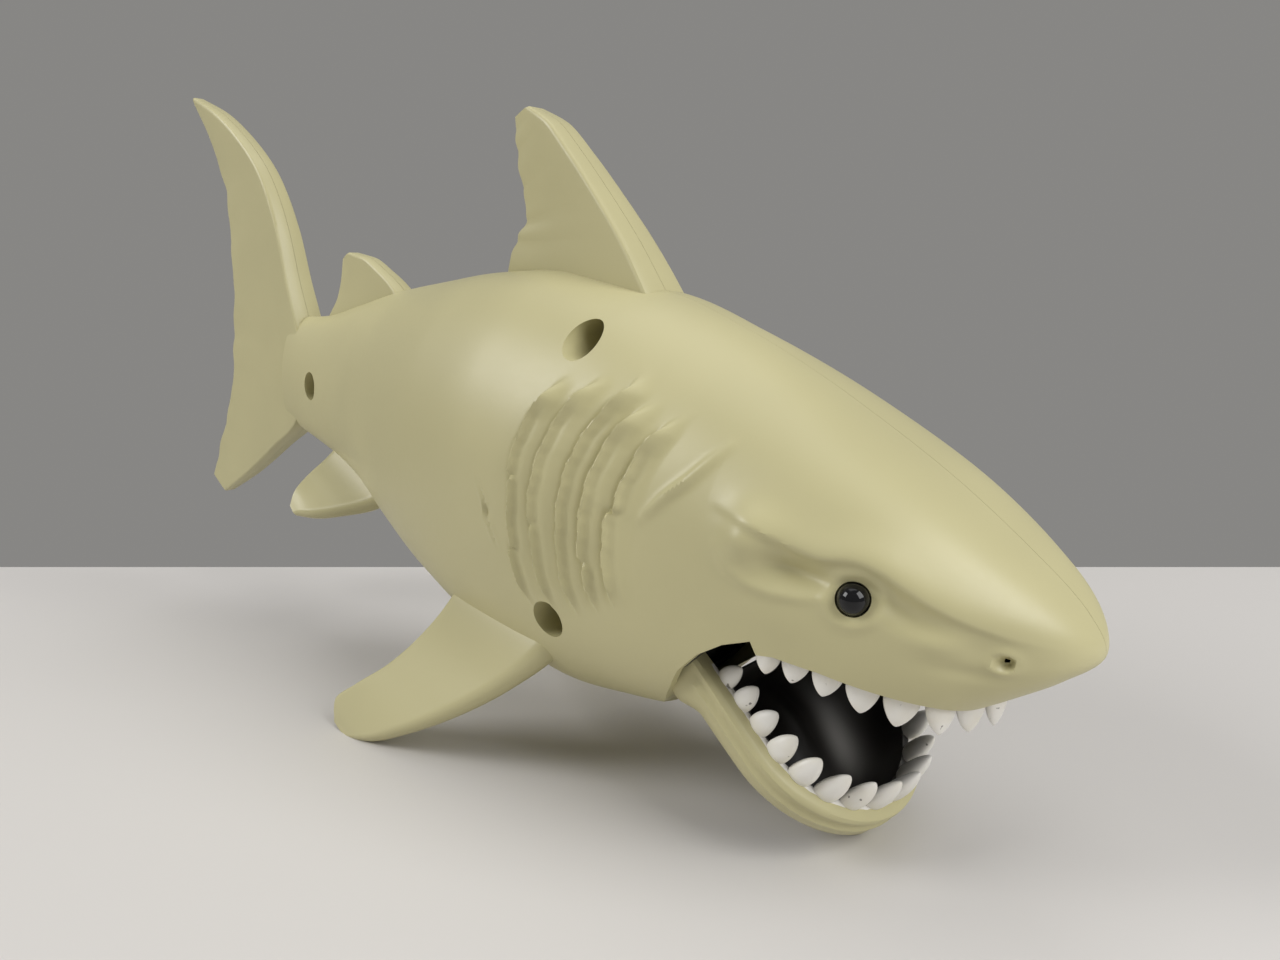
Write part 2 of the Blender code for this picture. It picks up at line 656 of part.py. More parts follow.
def make_holes(side, label, rig, cutters):
    """Screw, trunnion and eye holes of one half."""
    bars = []
    for name, behind, level in SCREWS:
        if label == "right":
            floor = side * (SCREW_FLOOR + 0.5 * SEAM_GAP)
            bars.append((f"recess_{name}", RECESS_RADIUS, (behind, level, floor), (behind, level, side * 0.06)))
            bars.append((f"screw_hole_{name}", SCREW_SHANK_RADIUS + CLEAR, (behind, level, 0.0),
                         (behind, level, 1.5 * floor)))
        else:
            bars.append((f"pilot_{name}", SCREW_SHANK_RADIUS + CLEAR, (behind, level, 0.0),
                         (behind, level, side * min(LEFT_BOSS_DEPTH, left_depth(behind, level)))))
    arm = JAW_HALF_WIDTH + CLEAR
    hinge = (HINGE_BEHIND_SNOUT, -HINGE_BELOW_SNOUT)
    bars.append((f"socket_{label}", TRUNNION_RADIUS + CLEAR, (*hinge, side * (arm - 0.001)),
                 (*hinge, side * (JAW_HALF_WIDTH + TRUNNION_LENGTH + CLEAR))))
    made = []
    for name, radius, start, end in bars:
        bar = cylinder(name, radius, on_axis(*start), on_axis(*end))
        made.append(add_cutter(name, bar, rig, cutters))
    made.append(add_cutter(f"eye_socket_{label}", eye_mesh(f"eye_socket_{label}", side, CLEAR), rig, cutters))
    return made


def left_depth(behind, level):
    """Deepest pilot hole that leaves a wall under the left skin."""
    return skin_reach(behind, level) - WALL


def eye_frame():
    """Skin point and outward direction at the right eye, in metres."""
    behind, level = EYE_BEHIND_SNOUT, EYE_ABOVE_SNOUT
    reach = skin_reach(behind, level)
    ahead = skin_reach(behind - 0.003, level)
    rear = skin_reach(behind + 0.003, level)
    upper, lower = skin_reach(behind, level + 0.003), skin_reach(behind, level - 0.003)
    outward = Vector((0.5 * (rear - ahead) / 0.003, -1.0, -0.5 * (upper - lower) / 0.003)).normalized()
    return Vector((-behind, -reach, level)), outward


def eye_mesh(name, side, grow):
    """Bead with a stem that plugs into the head, grown by grow for its socket."""
    skin, outward = eye_frame()
    if side > 0:
        skin.y, outward.y = -skin.y, -outward.y
    centre = skin - outward * EYE_SINK
    turn = outward.to_track_quat("Z", "Y").to_matrix().to_4x4()
    bead, stem = EYE_RADIUS + grow, EYE_STEM_RADIUS + grow
    profile = [(bead * math.sin(a), bead * math.cos(a)) for a in np.linspace(0.0, 0.88 * math.pi, 8)]
    profile = [(r, z) for r, z in profile if r < 1e-9 or r > stem or z > 0.0]
    foot = -(EYE_RADIUS + EYE_STEM_LENGTH + grow)
    profile += [(stem, profile[-1][1]), (stem, foot)]
    rings = []
    for r, z in profile[1:]:
        rings.append([turn @ Vector((r * math.cos(q), r * math.sin(q), z)) + centre
                      for q in np.linspace(0.0, 2.0 * math.pi, BEAD_SIDES, endpoint=False)])
    return loft(name, rings)


def jaw_half_width(u):
    """Half width of the jaw, metres, at u from the hinge axis."""
    if u <= JAW_BEND:
        return JAW_HALF_WIDTH
    share = min((u - JAW_BEND) / (JAW_LENGTH - JAW_BEND), 1.0)
    return JAW_HALF_WIDTH * (1.0 - share ** JAW_ROUND) ** (1.0 / JAW_ROUND)


def jaw_level(u, column):
    """Rim (column 1) or keel (column 2) level of the jaw, metres."""
    return hermite([row[0] for row in JAW_SIDE], [row[column] for row in JAW_SIDE], u / MM) * MM


def jaw_ring(u, inset=0.0, count=9):
    """Section of the jaw hull across, from rim to rim; inset draws its hollow."""
    half = max(jaw_half_width(u) - inset, 0.0004)
    rim, keel = jaw_level(u, 1), jaw_level(u, 2)
    shoulder = rim - min(0.0022, 0.35 * (rim - keel))
    keel = min(keel + min(inset, JAW_SKIN), shoulder - 0.0005)
    top = rim + 0.004 if inset else rim
    full = 6.0 - 4.1 * smoothstep(0.0, JAW_REAR + 0.004, u)
    points = [(-half, top)]
    for k in range(count + 1):
        a = math.pi * k / count
        y = -half * math.copysign(abs(math.cos(a)) ** (2.0 / full), math.cos(a))
        points.append((y, shoulder - (shoulder - keel) * abs(math.sin(a)) ** (2.0 / full)))
    points.append((half, top))
    return [Vector((u, y, z)) for y, z in points]


def jaw_places(start, end):
    """Places of the hull's rings, closer together towards the chin."""
    back = [u * MM for u in (-4.3, -3.0, -1.4, 0.5, 3.5, 7.0, 10.5)]
    back += list(np.linspace(JAW_REAR, JAW_BEND, 4))
    front = [JAW_BEND + (end - JAW_BEND) * math.sin(0.5 * math.pi * k / 9) for k in range(1, 9)]
    return [u for u in back if u >= start - 1e-9] + front + [end - 0.0001]


def tooth(bm, place, outward, size, down):
    """Rounded tooth: an egg of the given width, thickness and height."""
    width, thickness, height = size
    along = Vector((-outward.y, outward.x, 0.0))
    up = Vector((0.0, 0.0, -1.0 if down else 1.0))
    made = bmesh.ops.create_uvsphere(bm, u_segments=TOOTH_SIDES, v_segments=TOOTH_LEVELS, radius=1.0)
    for v in made["verts"]:
        x, y, z = v.co
        taper = (1.0 - 0.30 * max(z, 0.0)) * (1.0 - 0.12 * max(-z, 0.0))
        v.co = (place + along * (0.5 * x * width * taper) + outward * (0.5 * y * thickness * taper)
                + up * (0.5 * z * (height + TOOTH_ROOT) + 0.5 * (height - TOOTH_ROOT)))


def tooth_row(path, front, rear):
    """Teeth along half a row, from the middle one back: place, outward, size.

    path gives the row's point at a share from the front (0) to its rear end (1).
    """
    shares = np.linspace(0.0, 1.0, 201)
    points = np.array([path(t) for t in shares])
    steps = np.linalg.norm(np.diff(points, axis=0), axis=1)
    lengths = np.concatenate(([0.0], np.cumsum(steps)))
    half_count = (TEETH - 1) // 2
    sizes = []
    for k in range(half_count + 1):
        t = (k / half_count) ** 1.3
        sizes.append(tuple(a + (b - a) * t for a, b in zip(front, rear)))
    spans = [0.0]
    for k in range(half_count):
        spans.append(spans[-1] + 0.5 * (sizes[k][0] + sizes[k + 1][0]))
    stretch = lengths[-1] / (spans[-1] + 0.5 * sizes[-1][0])
    made = []
    for k, span in enumerate(spans):
        at = span * stretch
        here = [float(np.interp(at, lengths, points[:, c])) for c in (0, 1, 2)]
        ahead = [float(np.interp(at + 1e-3, lengths, points[:, c])) for c in (0, 1)]
        behind = [float(np.interp(max(at - 1e-3, 0.0), lengths, points[:, c])) for c in (0, 1)]
        run = Vector((ahead[0] - behind[0], ahead[1] - behind[1], 0.0)).normalized()
        outward = Vector((1.0, 0.0, 0.0)) if k == 0 else Vector((run.y, -run.x, 0.0))
        made.append((Vector(here), outward, sizes[k]))
    mirrored = [(Vector((p.x, -p.y, p.z)), Vector((o.x, -o.y, 0.0)), size) for p, o, size in made[1:]]
    return made + mirrored


def teeth_mesh(name, row, down):
    bm = bmesh.new()
    for place, outward, size in row:
        tooth(bm, place, outward, size, down)
    bmesh.ops.recalc_face_normals(bm, faces=bm.faces)
    return finish_mesh(name, bm)


def lower_gum(share):
    """Middle of the lower gum on the left, in the jaw's frame, from the chin back."""
    inset = GUM_WIDTH - 0.5 * LOWER_FRONT[1] + GUM_SINK
    half, reach = JAW_HALF_WIDTH - inset, JAW_LENGTH - inset - JAW_BEND
    root = JAW_REAR - 0.001
    bend = 0.72
    if share > bend:
        return (JAW_BEND + (root - JAW_BEND) * (share - bend) / (1.0 - bend), half, jaw_level(root, 1))
    angle = 0.5 * math.pi * share / bend
    u = JAW_BEND + reach * max(math.cos(angle), 0.0) ** (2.0 / JAW_ROUND)
    return (u, half * math.sin(angle) ** (2.0 / JAW_ROUND), jaw_level(root, 1))


def make_jaw(rig, parts, cutters, table):
    """Lower jaw: a hollow scoop with a gum, teeth, two arms and two trunnions."""
    pivot = bpy.data.objects.new("jaw_pivot", None)
    cutters.objects.link(pivot)
    pivot.parent = rig
    pivot.location = hinge_point()
    pivot.rotation_euler = (0.0, JAW_OPEN, 0.0)
    hull = loft("lower_jaw", [jaw_ring(u) for u in jaw_places(-1.0, JAW_LENGTH)])
    jaw = add_object("lower_jaw", hull, PLASTIC, pivot, parts)
    inner = [jaw_ring(u, GUM_WIDTH) for u in jaw_places(JAW_REAR, JAW_LENGTH - GUM_WIDTH)]
    combine(jaw, add_cutter("jaw_hollow", loft("jaw_hollow", inner), pivot, cutters), "DIFFERENCE")
    gap = [(-0.010, 0.010), (-0.010, -0.030), (JAW_REAR, -0.030), (JAW_REAR + 0.0003, 0.010)]
    half = JAW_HALF_WIDTH - ARM_THICKNESS
    combine(jaw, add_cutter("jaw_gap", prism("jaw_gap", gap, -half, half), pivot, cutters), "DIFFERENCE")
    for side, label in ((-1, "right"), (1, "left")):
        start = Vector((0.0, side * (JAW_HALF_WIDTH - 0.5 * ARM_THICKNESS), 0.0))
        end = Vector((0.0, side * (JAW_HALF_WIDTH + TRUNNION_LENGTH), 0.0))
        bar = cylinder(f"trunnion_{label}", TRUNNION_RADIUS, start, end)
        combine(jaw, add_cutter(f"trunnion_{label}", bar, pivot, cutters), "UNION")
    for name, mesh in (("tongue", tongue_mesh()),
                       ("lower_teeth", teeth_mesh("lower_teeth", tooth_row(lower_gum, LOWER_FRONT, LOWER_REAR), False))):
        combine(jaw, add_cutter(name, mesh, pivot, cutters), "UNION")
    combine(jaw, table, "DIFFERENCE")
    return jaw


def tongue_mesh():
    """Low tongue on the jaw's floor."""
    along, depth, half_length, half_width, half_height = TONGUE
    bm = bmesh.new()
    bmesh.ops.create_uvsphere(bm, u_segments=12, v_segments=8, radius=1.0)
    bmesh.ops.scale(bm, vec=(half_length, half_width, half_height), verts=bm.verts)
    bmesh.ops.translate(bm, vec=(along, 0.0, -depth), verts=bm.verts)
    return finish_mesh("tongue", bm)


def liner_roof():
    """Side view of the roof and the back wall of the mouth, seen from below."""
    return ((-LINER_FRONT, -0.0146), (-0.0175, -0.0100), (-0.0260, -0.0074), (-0.0400, -0.0046),
            (-0.0560, -0.0020), (-0.0725, -0.0015), (-LINER_BACK + 0.0012, -0.0050),
            (-LINER_BACK, -0.0120), (-LINER_BACK, -LINER_FOOT))


def offset_line(line, distance):
    """The line moved sideways by a distance, to the left of its run."""
    made = []
    for k, (x, z) in enumerate(line):
        before, after = line[max(k - 1, 0)], line[min(k + 1, len(line) - 1)]
        run = Vector((after[0] - before[0], after[1] - before[1])).normalized()
        made.append((x - run.y * distance, z + run.x * distance))
    return made


def full_room(name, extra, first, last):
    """Both halves of the hollow in one piece, inset by an extra clearance."""
    angles = column_angles(LINING_COLUMNS)
    rings = []
    for s in [p for p in lining_places() if first < p < last]:
        half = [Vector((x * MM, y * MM, z * MM)) for x, y, z in
                body_ring(s, angles, wall_at(s) + extra / MM, gills=False)]
        rings.append(half + [Vector((p.x, -p.y, p.z)) for p in half[1:-1]][::-1])
    return loft(name, rings)


def upper_gum(share):
    """Middle of the upper tooth row on the left, from the front back."""
    inset = HEAD_WALL + CLEAR + 0.5 * UPPER_FRONT[1] + 0.0003 + 0.0016 * max(1.0 - 2.0 * share, 0.0)
    front = LINER_FRONT + 0.5 * UPPER_FRONT[1]
    behind = front + (LINER_TEETH_END - front) * share ** 1.8
    level = np.interp(-behind / MM, [p[0] for p in LIP[7:0:-1]], [p[1] for p in LIP[7:0:-1]]) * MM
    reach = max(skin_reach(behind, level) - inset, 0.0) * min(1.0, 3.0 * share) ** 0.75
    return (-behind, reach, level + 0.0006)


def make_liner(rig, parts, cutters):
    """Black roof, cheeks and back wall of the mouth, with the upper teeth on its rim."""
    roof = liner_roof()
    over = offset_line(roof, -LINER_THICKNESS)
    outside = over + [(-LINER_FRONT, -LINER_FOOT)]
    inside = list(roof)[:-1] + [(-LINER_BACK, -LINER_FOOT - 0.01), (-LINER_FRONT + 0.02, -LINER_FOOT - 0.01)]
    liner = add_object("mouth_liner", prism("mouth_liner", outside, -0.04, 0.04), BLACK, rig, parts)
    room = add_cutter("liner_room", full_room("liner_room", CLEAR, 0.0, 100.0), rig, cutters)
    combine(liner, room, "INTERSECT")
    inner = prism("liner_inside", inside, -0.04, 0.04)
    inner = add_cutter("liner_inside", inner, rig, cutters)
    narrow = full_room("liner_narrow", CLEAR + LINER_THICKNESS, 0.0, 100.0)
    combine(inner, add_cutter("liner_narrow", narrow, rig, cutters), "INTERSECT")
    combine(liner, inner, "DIFFERENCE")
    mouth = [(x * MM, z * MM) for x, z in LIP + LINER_CUT]
    combine(liner, add_cutter("liner_mouth", prism("liner_mouth", mouth, -0.06, 0.06), rig, cutters), "DIFFERENCE")
    for side, label in ((-1, "right"), (1, "left")):
        bar = cylinder(f"liner_boss_{label}", HINGE_BOSS_RADIUS + CLEAR,
                       hinge_point() + Vector((0.0, side * 0.020, 0.0)),
                       hinge_point() + Vector((0.0, side * 0.060, 0.0)))
        combine(liner, add_cutter(f"liner_boss_{label}", bar, rig, cutters), "DIFFERENCE")
        room = prism(f"arm_room_{label}", ARM_ROOM, side * (JAW_HALF_WIDTH - ARM_THICKNESS - SWEEP_ROOM),
                     side * (JAW_HALF_WIDTH + SWEEP_ROOM))
        combine(liner, add_cutter(f"arm_room_{label}", room, rig, cutters), "DIFFERENCE")
    teeth = teeth_mesh("upper_teeth", tooth_row(upper_gum, UPPER_FRONT, UPPER_REAR), True)
    combine(liner, add_cutter("upper_teeth", teeth, rig, cutters), "UNION")
    return liner


def make_eye(side, label, rig, parts):
    return add_object(f"eye_{label}", eye_mesh(f"eye_{label}", side, 0.0), GLOSS, rig, parts)


def make_screw(name, behind, level, rig, parts):
    """Pan-head screw: a turned profile about its axis, head towards the right."""
    head = -(SCREW_FLOOR + 0.5 * SEAM_GAP + 0.0001)
    crown = SCREW_HEAD_HEIGHT
    profile = [(0.0, head - crown), (0.55 * SCREW_HEAD_RADIUS, head - 0.94 * crown),
               (0.88 * SCREW_HEAD_RADIUS, head - 0.68 * crown), (SCREW_HEAD_RADIUS, head - 0.25 * crown),
               (SCREW_HEAD_RADIUS, head), (SCREW_SHANK_RADIUS, head),
               (SCREW_SHANK_RADIUS, SCREW_REACH - 0.002), (0.0, SCREW_REACH)]
    rings = []
    for r, y in profile[1:-1]:
        rings.append([Vector((-behind + r * math.cos(q), y, level + r * math.sin(q)))
                      for q in np.linspace(0.0, 2.0 * math.pi, BAR_SIDES, endpoint=False)])
    return add_object(f"screw_{name}", loft(f"screw_{name}", rings), STEEL, rig, parts)


def stand(rig, parts):
    """Tip the shark nose down and set it on the table, centred over the origin."""
    rig.rotation_euler = (0.0, PITCH, 0.0)
    bpy.context.view_layer.update()
    graph = bpy.context.evaluated_depsgraph_get()
    corners = []
    for piece in parts.objects:
        done = piece.evaluated_get(graph)
        mesh = done.to_mesh()
        points = np.empty(len(mesh.vertices) * 3, dtype=np.float32)
        mesh.vertices.foreach_get("co", points)
        points = points.reshape(-1, 3) @ np.array(done.matrix_world.to_3x3()).T
        points += np.array(done.matrix_world.translation)
        corners += [points.min(axis=0), points.max(axis=0)]
        done.to_mesh_clear()
    low, high = np.min(corners, axis=0), np.max(corners, axis=0)
    rig.location = (-0.5 * (low[0] + high[0]), -0.5 * (low[1] + high[1]), -low[2])
    bpy.context.view_layer.update()


def main():
    clear_scene()
    parts = make_collection("toy_shark")
    cutters = make_collection("cutters")
    rig = bpy.data.objects.new("shark_pose", None)
    cutters.objects.link(rig)
    table = make_ground_cut(rig, cutters)
    shared = (make_mouth_cut(rig, cutters), make_sweep_cut(rig, cutters), table)
    for side, label in ((-1, "right"), (1, "left")):
        make_shell(side, label, rig, parts, cutters, shared)
        make_eye(side, label, rig, parts)
    make_liner(rig, parts, cutters)
    make_jaw(rig, parts, cutters, table)
    for name, behind, level in SCREWS:
        make_screw(name, behind, level, rig, parts)
    stand(rig, parts)


main()
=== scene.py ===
"""Toy great white shark in moulded plastic, dressed for a picture.

The two half shells, the lower jaw, the mouth liner with the upper teeth, the
eyes and the screws are modelled finely round the fixed CAD frame. Form points
are in millimetres in the shark's own frame: the snout tip is the origin, +X
points out of the snout, +Z is up and -Y is the shark's right side.
"""

import json
import math

import bmesh
import bpy
import numpy as np
from mathutils import Matrix, Vector


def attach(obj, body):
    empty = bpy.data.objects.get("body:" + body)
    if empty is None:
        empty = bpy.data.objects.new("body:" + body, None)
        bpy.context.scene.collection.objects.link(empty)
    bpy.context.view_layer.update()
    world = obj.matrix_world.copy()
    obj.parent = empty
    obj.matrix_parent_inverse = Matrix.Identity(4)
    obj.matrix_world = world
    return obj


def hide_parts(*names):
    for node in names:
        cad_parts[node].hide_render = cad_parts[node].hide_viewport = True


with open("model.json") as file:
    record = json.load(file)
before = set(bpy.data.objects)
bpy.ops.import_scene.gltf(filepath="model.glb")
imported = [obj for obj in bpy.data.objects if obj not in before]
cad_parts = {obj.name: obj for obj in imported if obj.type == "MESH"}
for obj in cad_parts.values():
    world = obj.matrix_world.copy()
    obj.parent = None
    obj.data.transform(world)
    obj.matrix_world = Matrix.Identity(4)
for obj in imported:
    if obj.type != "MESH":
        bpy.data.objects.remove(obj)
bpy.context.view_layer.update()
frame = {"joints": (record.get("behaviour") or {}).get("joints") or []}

bl_info = {
    "name": "Toy Shark",
    "version": (1, 0, 0),
    "blender": (4, 5, 0),
    "location": "View3D > Sidebar > Toy Shark",
    "description": "Models a moulded toy shark with a swinging jaw",
    "category": "Object",
}

MM = 0.001
PITCH = math.radians(10.0)
JAW_OPEN = math.radians(35.5)
HINGE = np.array((-70.5, 0.0, -18.0))
RIGHT, LEFT = -1.0, 1.0

# The shark's frame and the jaw's frame, placed on the CAD hinge
_hinge = Vector(frame["joints"][0]["pos_m"])
SHARK = (Matrix.Translation(_hinge) @ Matrix.Rotation(PITCH, 4, "Y")
         @ Matrix.Translation(-Vector(HINGE) * MM))
JAW = Matrix.Translation(_hinge) @ Matrix.Rotation(PITCH + JAW_OPEN, 4, "Y")

# Body form: behind the snout, top, belly, half width, level of the widest point,
# fullness above it and below it (2 is an ellipse, more is squarer)
BODY = np.array((
    (0.0, -1.6, -1.6, 0.0, -1.6, 2.0, 2.0),
    (1.0, 1.2, -3.9, 4.8, -1.6, 2.2, 2.1),
    (3.0, 3.4, -5.9, 8.9, -1.6, 2.5, 2.2),
    (5.0, 5.2, -7.9, 11.5, -1.8, 2.7, 2.3),
    (9.0, 8.0, -11.4, 15.1, -2.1, 2.9, 2.4),
    (14.0, 10.9, -15.6, 18.5, -2.4, 2.95, 2.5),
    (20.0, 14.2, -20.2, 22.2, -3.0, 2.9, 2.6),
    (34.0, 21.0, -25.5, 27.8, -3.4, 2.7, 2.8),
    (46.0, 25.8, -29.5, 30.2, -4.2, 2.55, 2.9),
    (62.0, 31.5, -36.8, 31.8, -6.0, 2.35, 2.9),
    (80.0, 36.5, -43.5, 33.2, -6.0, 2.1, 2.6),
    (101.0, 40.0, -48.5, 34.0, -6.0, 2.1, 2.4),
    (125.0, 39.8, -49.0, 33.0, -6.0, 2.1, 2.3),
    (148.0, 36.0, -44.8, 29.5, -6.0, 2.1, 2.2),
    (170.0, 29.8, -38.6, 23.5, -6.2, 2.0, 2.1),
    (189.0, 23.8, -32.2, 17.5, -6.8, 2.0, 2.0),
    (205.0, 17.5, -29.0, 12.6, -7.4, 2.0, 2.0),
    (222.0, 11.0, -27.0, 8.4, -8.2, 2.0, 2.0),
    (238.0, 7.6, -25.2, 5.6, -8.8, 2.0, 2.0),
))

# Gill edges, front to rear: behind the snout at the crown, top level, bottom level,
# and the nicks in the edge: level and how far the edge jumps back above it
GILLS = (
    (81.0, 19.0, -13.0, ((3.0, -1.3),)),
    (86.4, 20.0, -15.5, ((-8.5, 0.6),)),
    (92.6, 24.0, -18.0, ()),
    (99.6, 22.0, -19.5, ((-5.0, 0.7),)),
    (106.8, 20.0, -21.0, ((2.4, 0.9), (-12.0, -0.6))),
)
GILL_FRONT = 74.5
GILL_CROWN_LEVEL = 4.0
GILL_BOW_UP, GILL_BOW_DOWN, GILL_BOW_LIMIT = 0.016, 0.011, 24.0
GILL_SINK, GILL_TOP = 0.25, 0.75

# Brow ridge: behind the snout, level, ridge, hollow under it
BROW = np.array((
    (3.0, 1.0, 0.0, 0.0),
    (9.0, 1.7, 0.3, 0.1),
    (13.0, 2.4, 0.6, 0.3),
    (21.4, 4.6, 0.95, 0.6),
    (26.5, 6.6, 1.1, 0.8),
    (30.0, 8.0, 1.2, 0.75),
    (33.5, 8.7, 1.25, 0.4),
    (40.0, 7.7, 1.2, 0.2),
    (47.5, 8.6, 1.15, 0.1),
    (54.0, 9.8, 0.7, 0.0),
    (62.0, 11.0, 0.0, 0.0),
))

# Single swells: behind the snout, level, length, height, lift
SWELLS = (
    (52.8, 6.4, 4.8, 5.0, 2.8),
    (43.0, 3.9, 6.0, 2.0, -2.1),
    (18.6, -0.9, 4.4, 2.4, 1.3),
    (14.0, -5.4, 5.0, 1.3, -0.5),
    (10.6, -2.8, 2.6, 2.3, 0.5),
    (46.0, -4.0, 11.0, 4.4, 0.7),
)
EYELID = ((58.0, 3.8), (54.0, 0.9), (50.5, -0.3), (46.0, -0.4), (41.5, 0.3), (36.8, 1.6))

FOLD = ((74.0, 3.6), (70.5, 8.6), (66.9, 12.8), (62.4, 19.6))
SCAR = ((117.5, -1.0), (114.0, -5.5), (113.4, -8.5), (111.8, -10.0), (108.5, -14.5))

LIP = ((6.0, -15.0), (-13.0, -15.0), (-19.0, -13.6), (-27.0, -12.9), (-36.0, -12.0),
       (-44.0, -12.0), (-47.0, -12.8), (-48.3, -10.6), (-53.5, -13.4), (-58.5, -17.6),
       (-62.5, -22.8))
THROAT = ((-65.0, -28.0), (-68.5, -34.0), (-73.5, -39.5), (-76.0, -52.0), (6.0, -60.0))
LINER_CUT = ((-66.0, -24.0), (-76.8, -24.0), (-76.8, -60.0), (6.0, -60.0))

DORSAL = {
    "lead": ((-94.0, 32.0), (-101.0, 40.0), (-110.0, 49.2), (-119.0, 57.0), (-129.0, 65.0),
             (-138.0, 71.2), (-145.0, 73.4)),
    "trail": ((-147.0, 28.0), (-148.5, 36.0), (-146.5, 43.5), (-143.6, 48.5), (-146.2, 55.5),
              (-148.8, 63.5), (-150.8, 70.8)),
    "half": (7.0, 6.6, 5.8, 5.2, 4.6, 3.9, 2.6),
    "ragged": (0.55, 12.0),
    "rows": 150,
}
SECOND_DORSAL = {
    "lead": ((-182.0, 17.0), (-189.0, 24.4), (-197.0, 28.0), (-205.0, 30.4), (-212.0, 30.6)),
    "trail": ((-226.0, 3.0), (-221.0, 11.5), (-217.6, 17.0), (-216.2, 22.5), (-215.8, 28.2)),
    "half": (3.6, 3.1, 2.7, 2.4, 1.7),
    "ragged": (0.0, 1.0),
    "rows": 60,
}
CAUDAL = {
    "lead": ((-299.6, 65.6), (-286.0, 62.6), (-272.0, 57.0), (-257.0, 47.5), (-246.0, 33.5),
             (-238.5, 18.0), (-232.0, 5.5), (-228.0, -8.5), (-231.0, -22.0), (-246.0, -36.0),
             (-263.0, -50.0), (-277.0, -60.0)),
    "trail": ((-300.6, 63.6), (-291.0, 54.5), (-284.0, 45.0), (-278.5, 35.0), (-276.5, 22.0),
              (-275.0, 10.0), (-274.0, -1.0), (-274.0, -12.0), (-275.5, -24.0), (-278.5, -36.0),
              (-283.0, -48.0), (-286.5, -57.0)),
    "half": (1.7, 2.7, 3.1, 3.5, 4.0, 4.4, 4.6, 4.6, 4.2, 3.4, 2.8, 1.8),
    "ragged": (0.7, 17.0),
    "rows": 230,
}
PECTORAL = {
    "lead": ((-92.0, 18.0, -26.0), (-96.5, 26.5, -36.5), (-105.0, 30.2, -46.8),
             (-116.0, 34.0, -57.2), (-128.0, 37.0, -66.5), (-139.0, 38.6, -73.6),
             (-146.5, 39.2, -76.6)),
    "trail": ((-127.0, 17.0, -22.0), (-130.0, 26.0, -36.0), (-136.0, 29.5, -47.5),
              (-142.5, 33.0, -56.5), (-150.0, 36.0, -64.0), (-155.6, 38.0, -70.5),
              (-153.8, 39.0, -75.2)),
    "half": (3.6, 3.3, 3.0, 2.8, 2.6, 2.3, 1.5),
    "rows": 110,
}
PELVIC = {
    "lead": ((-178.0, 3.0, -27.0), (-183.0, 8.0, -34.0), (-190.0, 13.5, -37.6),
             (-198.0, 18.5, -40.4), (-203.5, 20.4, -41.2)),
    "trail": ((-206.0, 2.0, -20.0), (-209.0, 7.0, -27.0), (-209.5, 13.0, -32.0),
              (-208.5, 18.0, -36.0), (-206.8, 20.2, -39.4)),
    "half": (2.8, 2.5, 2.2, 2.0, 1.2),
    "rows": 60,
}

SCREWS = {"tail": (216.5, -8.0), "back": (102.8, 30.0), "flank": (94.3, -25.0)}
SCREW_FLOOR = 3.5
SCREW_HEAD = ((0.02, -2.0), (1.5, -1.88), (2.4, -1.36), (2.75, -0.6), (2.8, 0.0), (1.3, 0.0))
RECESS_RADIUS = 4.0

JAW_HALF_WIDTH, JAW_LENGTH, JAW_REAR, JAW_BEND, JAW_ROUND = 26.4, 52.4, 13.8, 29.4, 1.95
JAW_SIDE = np.array((
    (-4.3, 0.3, -0.6),
    (-3.0, 1.9, -3.0),
    (0.0, 2.6, -4.4),
    (7.0, 2.6, -9.0),
    (13.8, 2.6, -14.6),
    (22.0, 2.6, -14.3),
    (30.0, 2.6, -13.6),
    (38.0, 2.6, -12.4),
    (46.0, 2.6, -10.7),
    (52.4, 2.6, -9.0),
))
GUM_WIDTH, ARM_THICKNESS, JAW_SKIN, SCOOP_SILL = 5.1, 3.6, 2.2, 2.2
EDGE_ROUND, GUM_SWELL = 0.5, 0.7
SWEEP_ROOM = 0.6
TRUNNION_RADIUS, TRUNNION_LENGTH, BOSS_ROOM = 2.4, 3.0, 5.1

# Beads and grooves round the jaw's outside: level below the rim, width, height
JAW_BEADS = ((3.4, 0.42, 0.34), (2.1, 0.8, -0.30), (0.7, 0.6, 0.12))
ARM_ROOM = ((-76.5, -40.0), (-76.5, -8.0), (-56.0, -8.0), (-56.0, -40.0))
ROOM_TOP = 1.0
LOWER_TEETH, UPPER_TEETH = 17, 15
LOWER_FRONT, LOWER_REAR = (5.6, 3.6, 8.4), (4.0, 2.6, 5.0)
UPPER_FRONT, UPPER_REAR = (7.2, 3.4, 6.0), (4.6, 2.6, 3.4)
UPPER_DROP, TOOTH_LEAN = 0.9, 0.5
TOOTH_ROOT, LOWER_WIDEST, UPPER_WIDEST = 2.2, 0.24, 0.12
HEAD_WALL, LINER_CLEAR, LINER_THICKNESS = 1.6, 0.3, 1.6
LINER_FRONT, LINER_BACK, LINER_FOOT, LINER_TEETH_END = 13.2, 79.0, 41.0, 48.0
EYE_PLACE = (33.0, 2.4)
EYE_RADIUS, EYE_SINK = 2.7, 1.0
SOCKET_CLEAR, SOCKET_SINK = 0.25, 0.85
STEM_RADIUS, STEM_REACH = 1.1, (2.5, 8.3)
FIN_EDGE = 0.35

# Half width of the blocks that cut right across the shark; points nearer than MERGE are one
WIDE, LINER_WIDE = 60.0, 40.0
MERGE = 0.000004

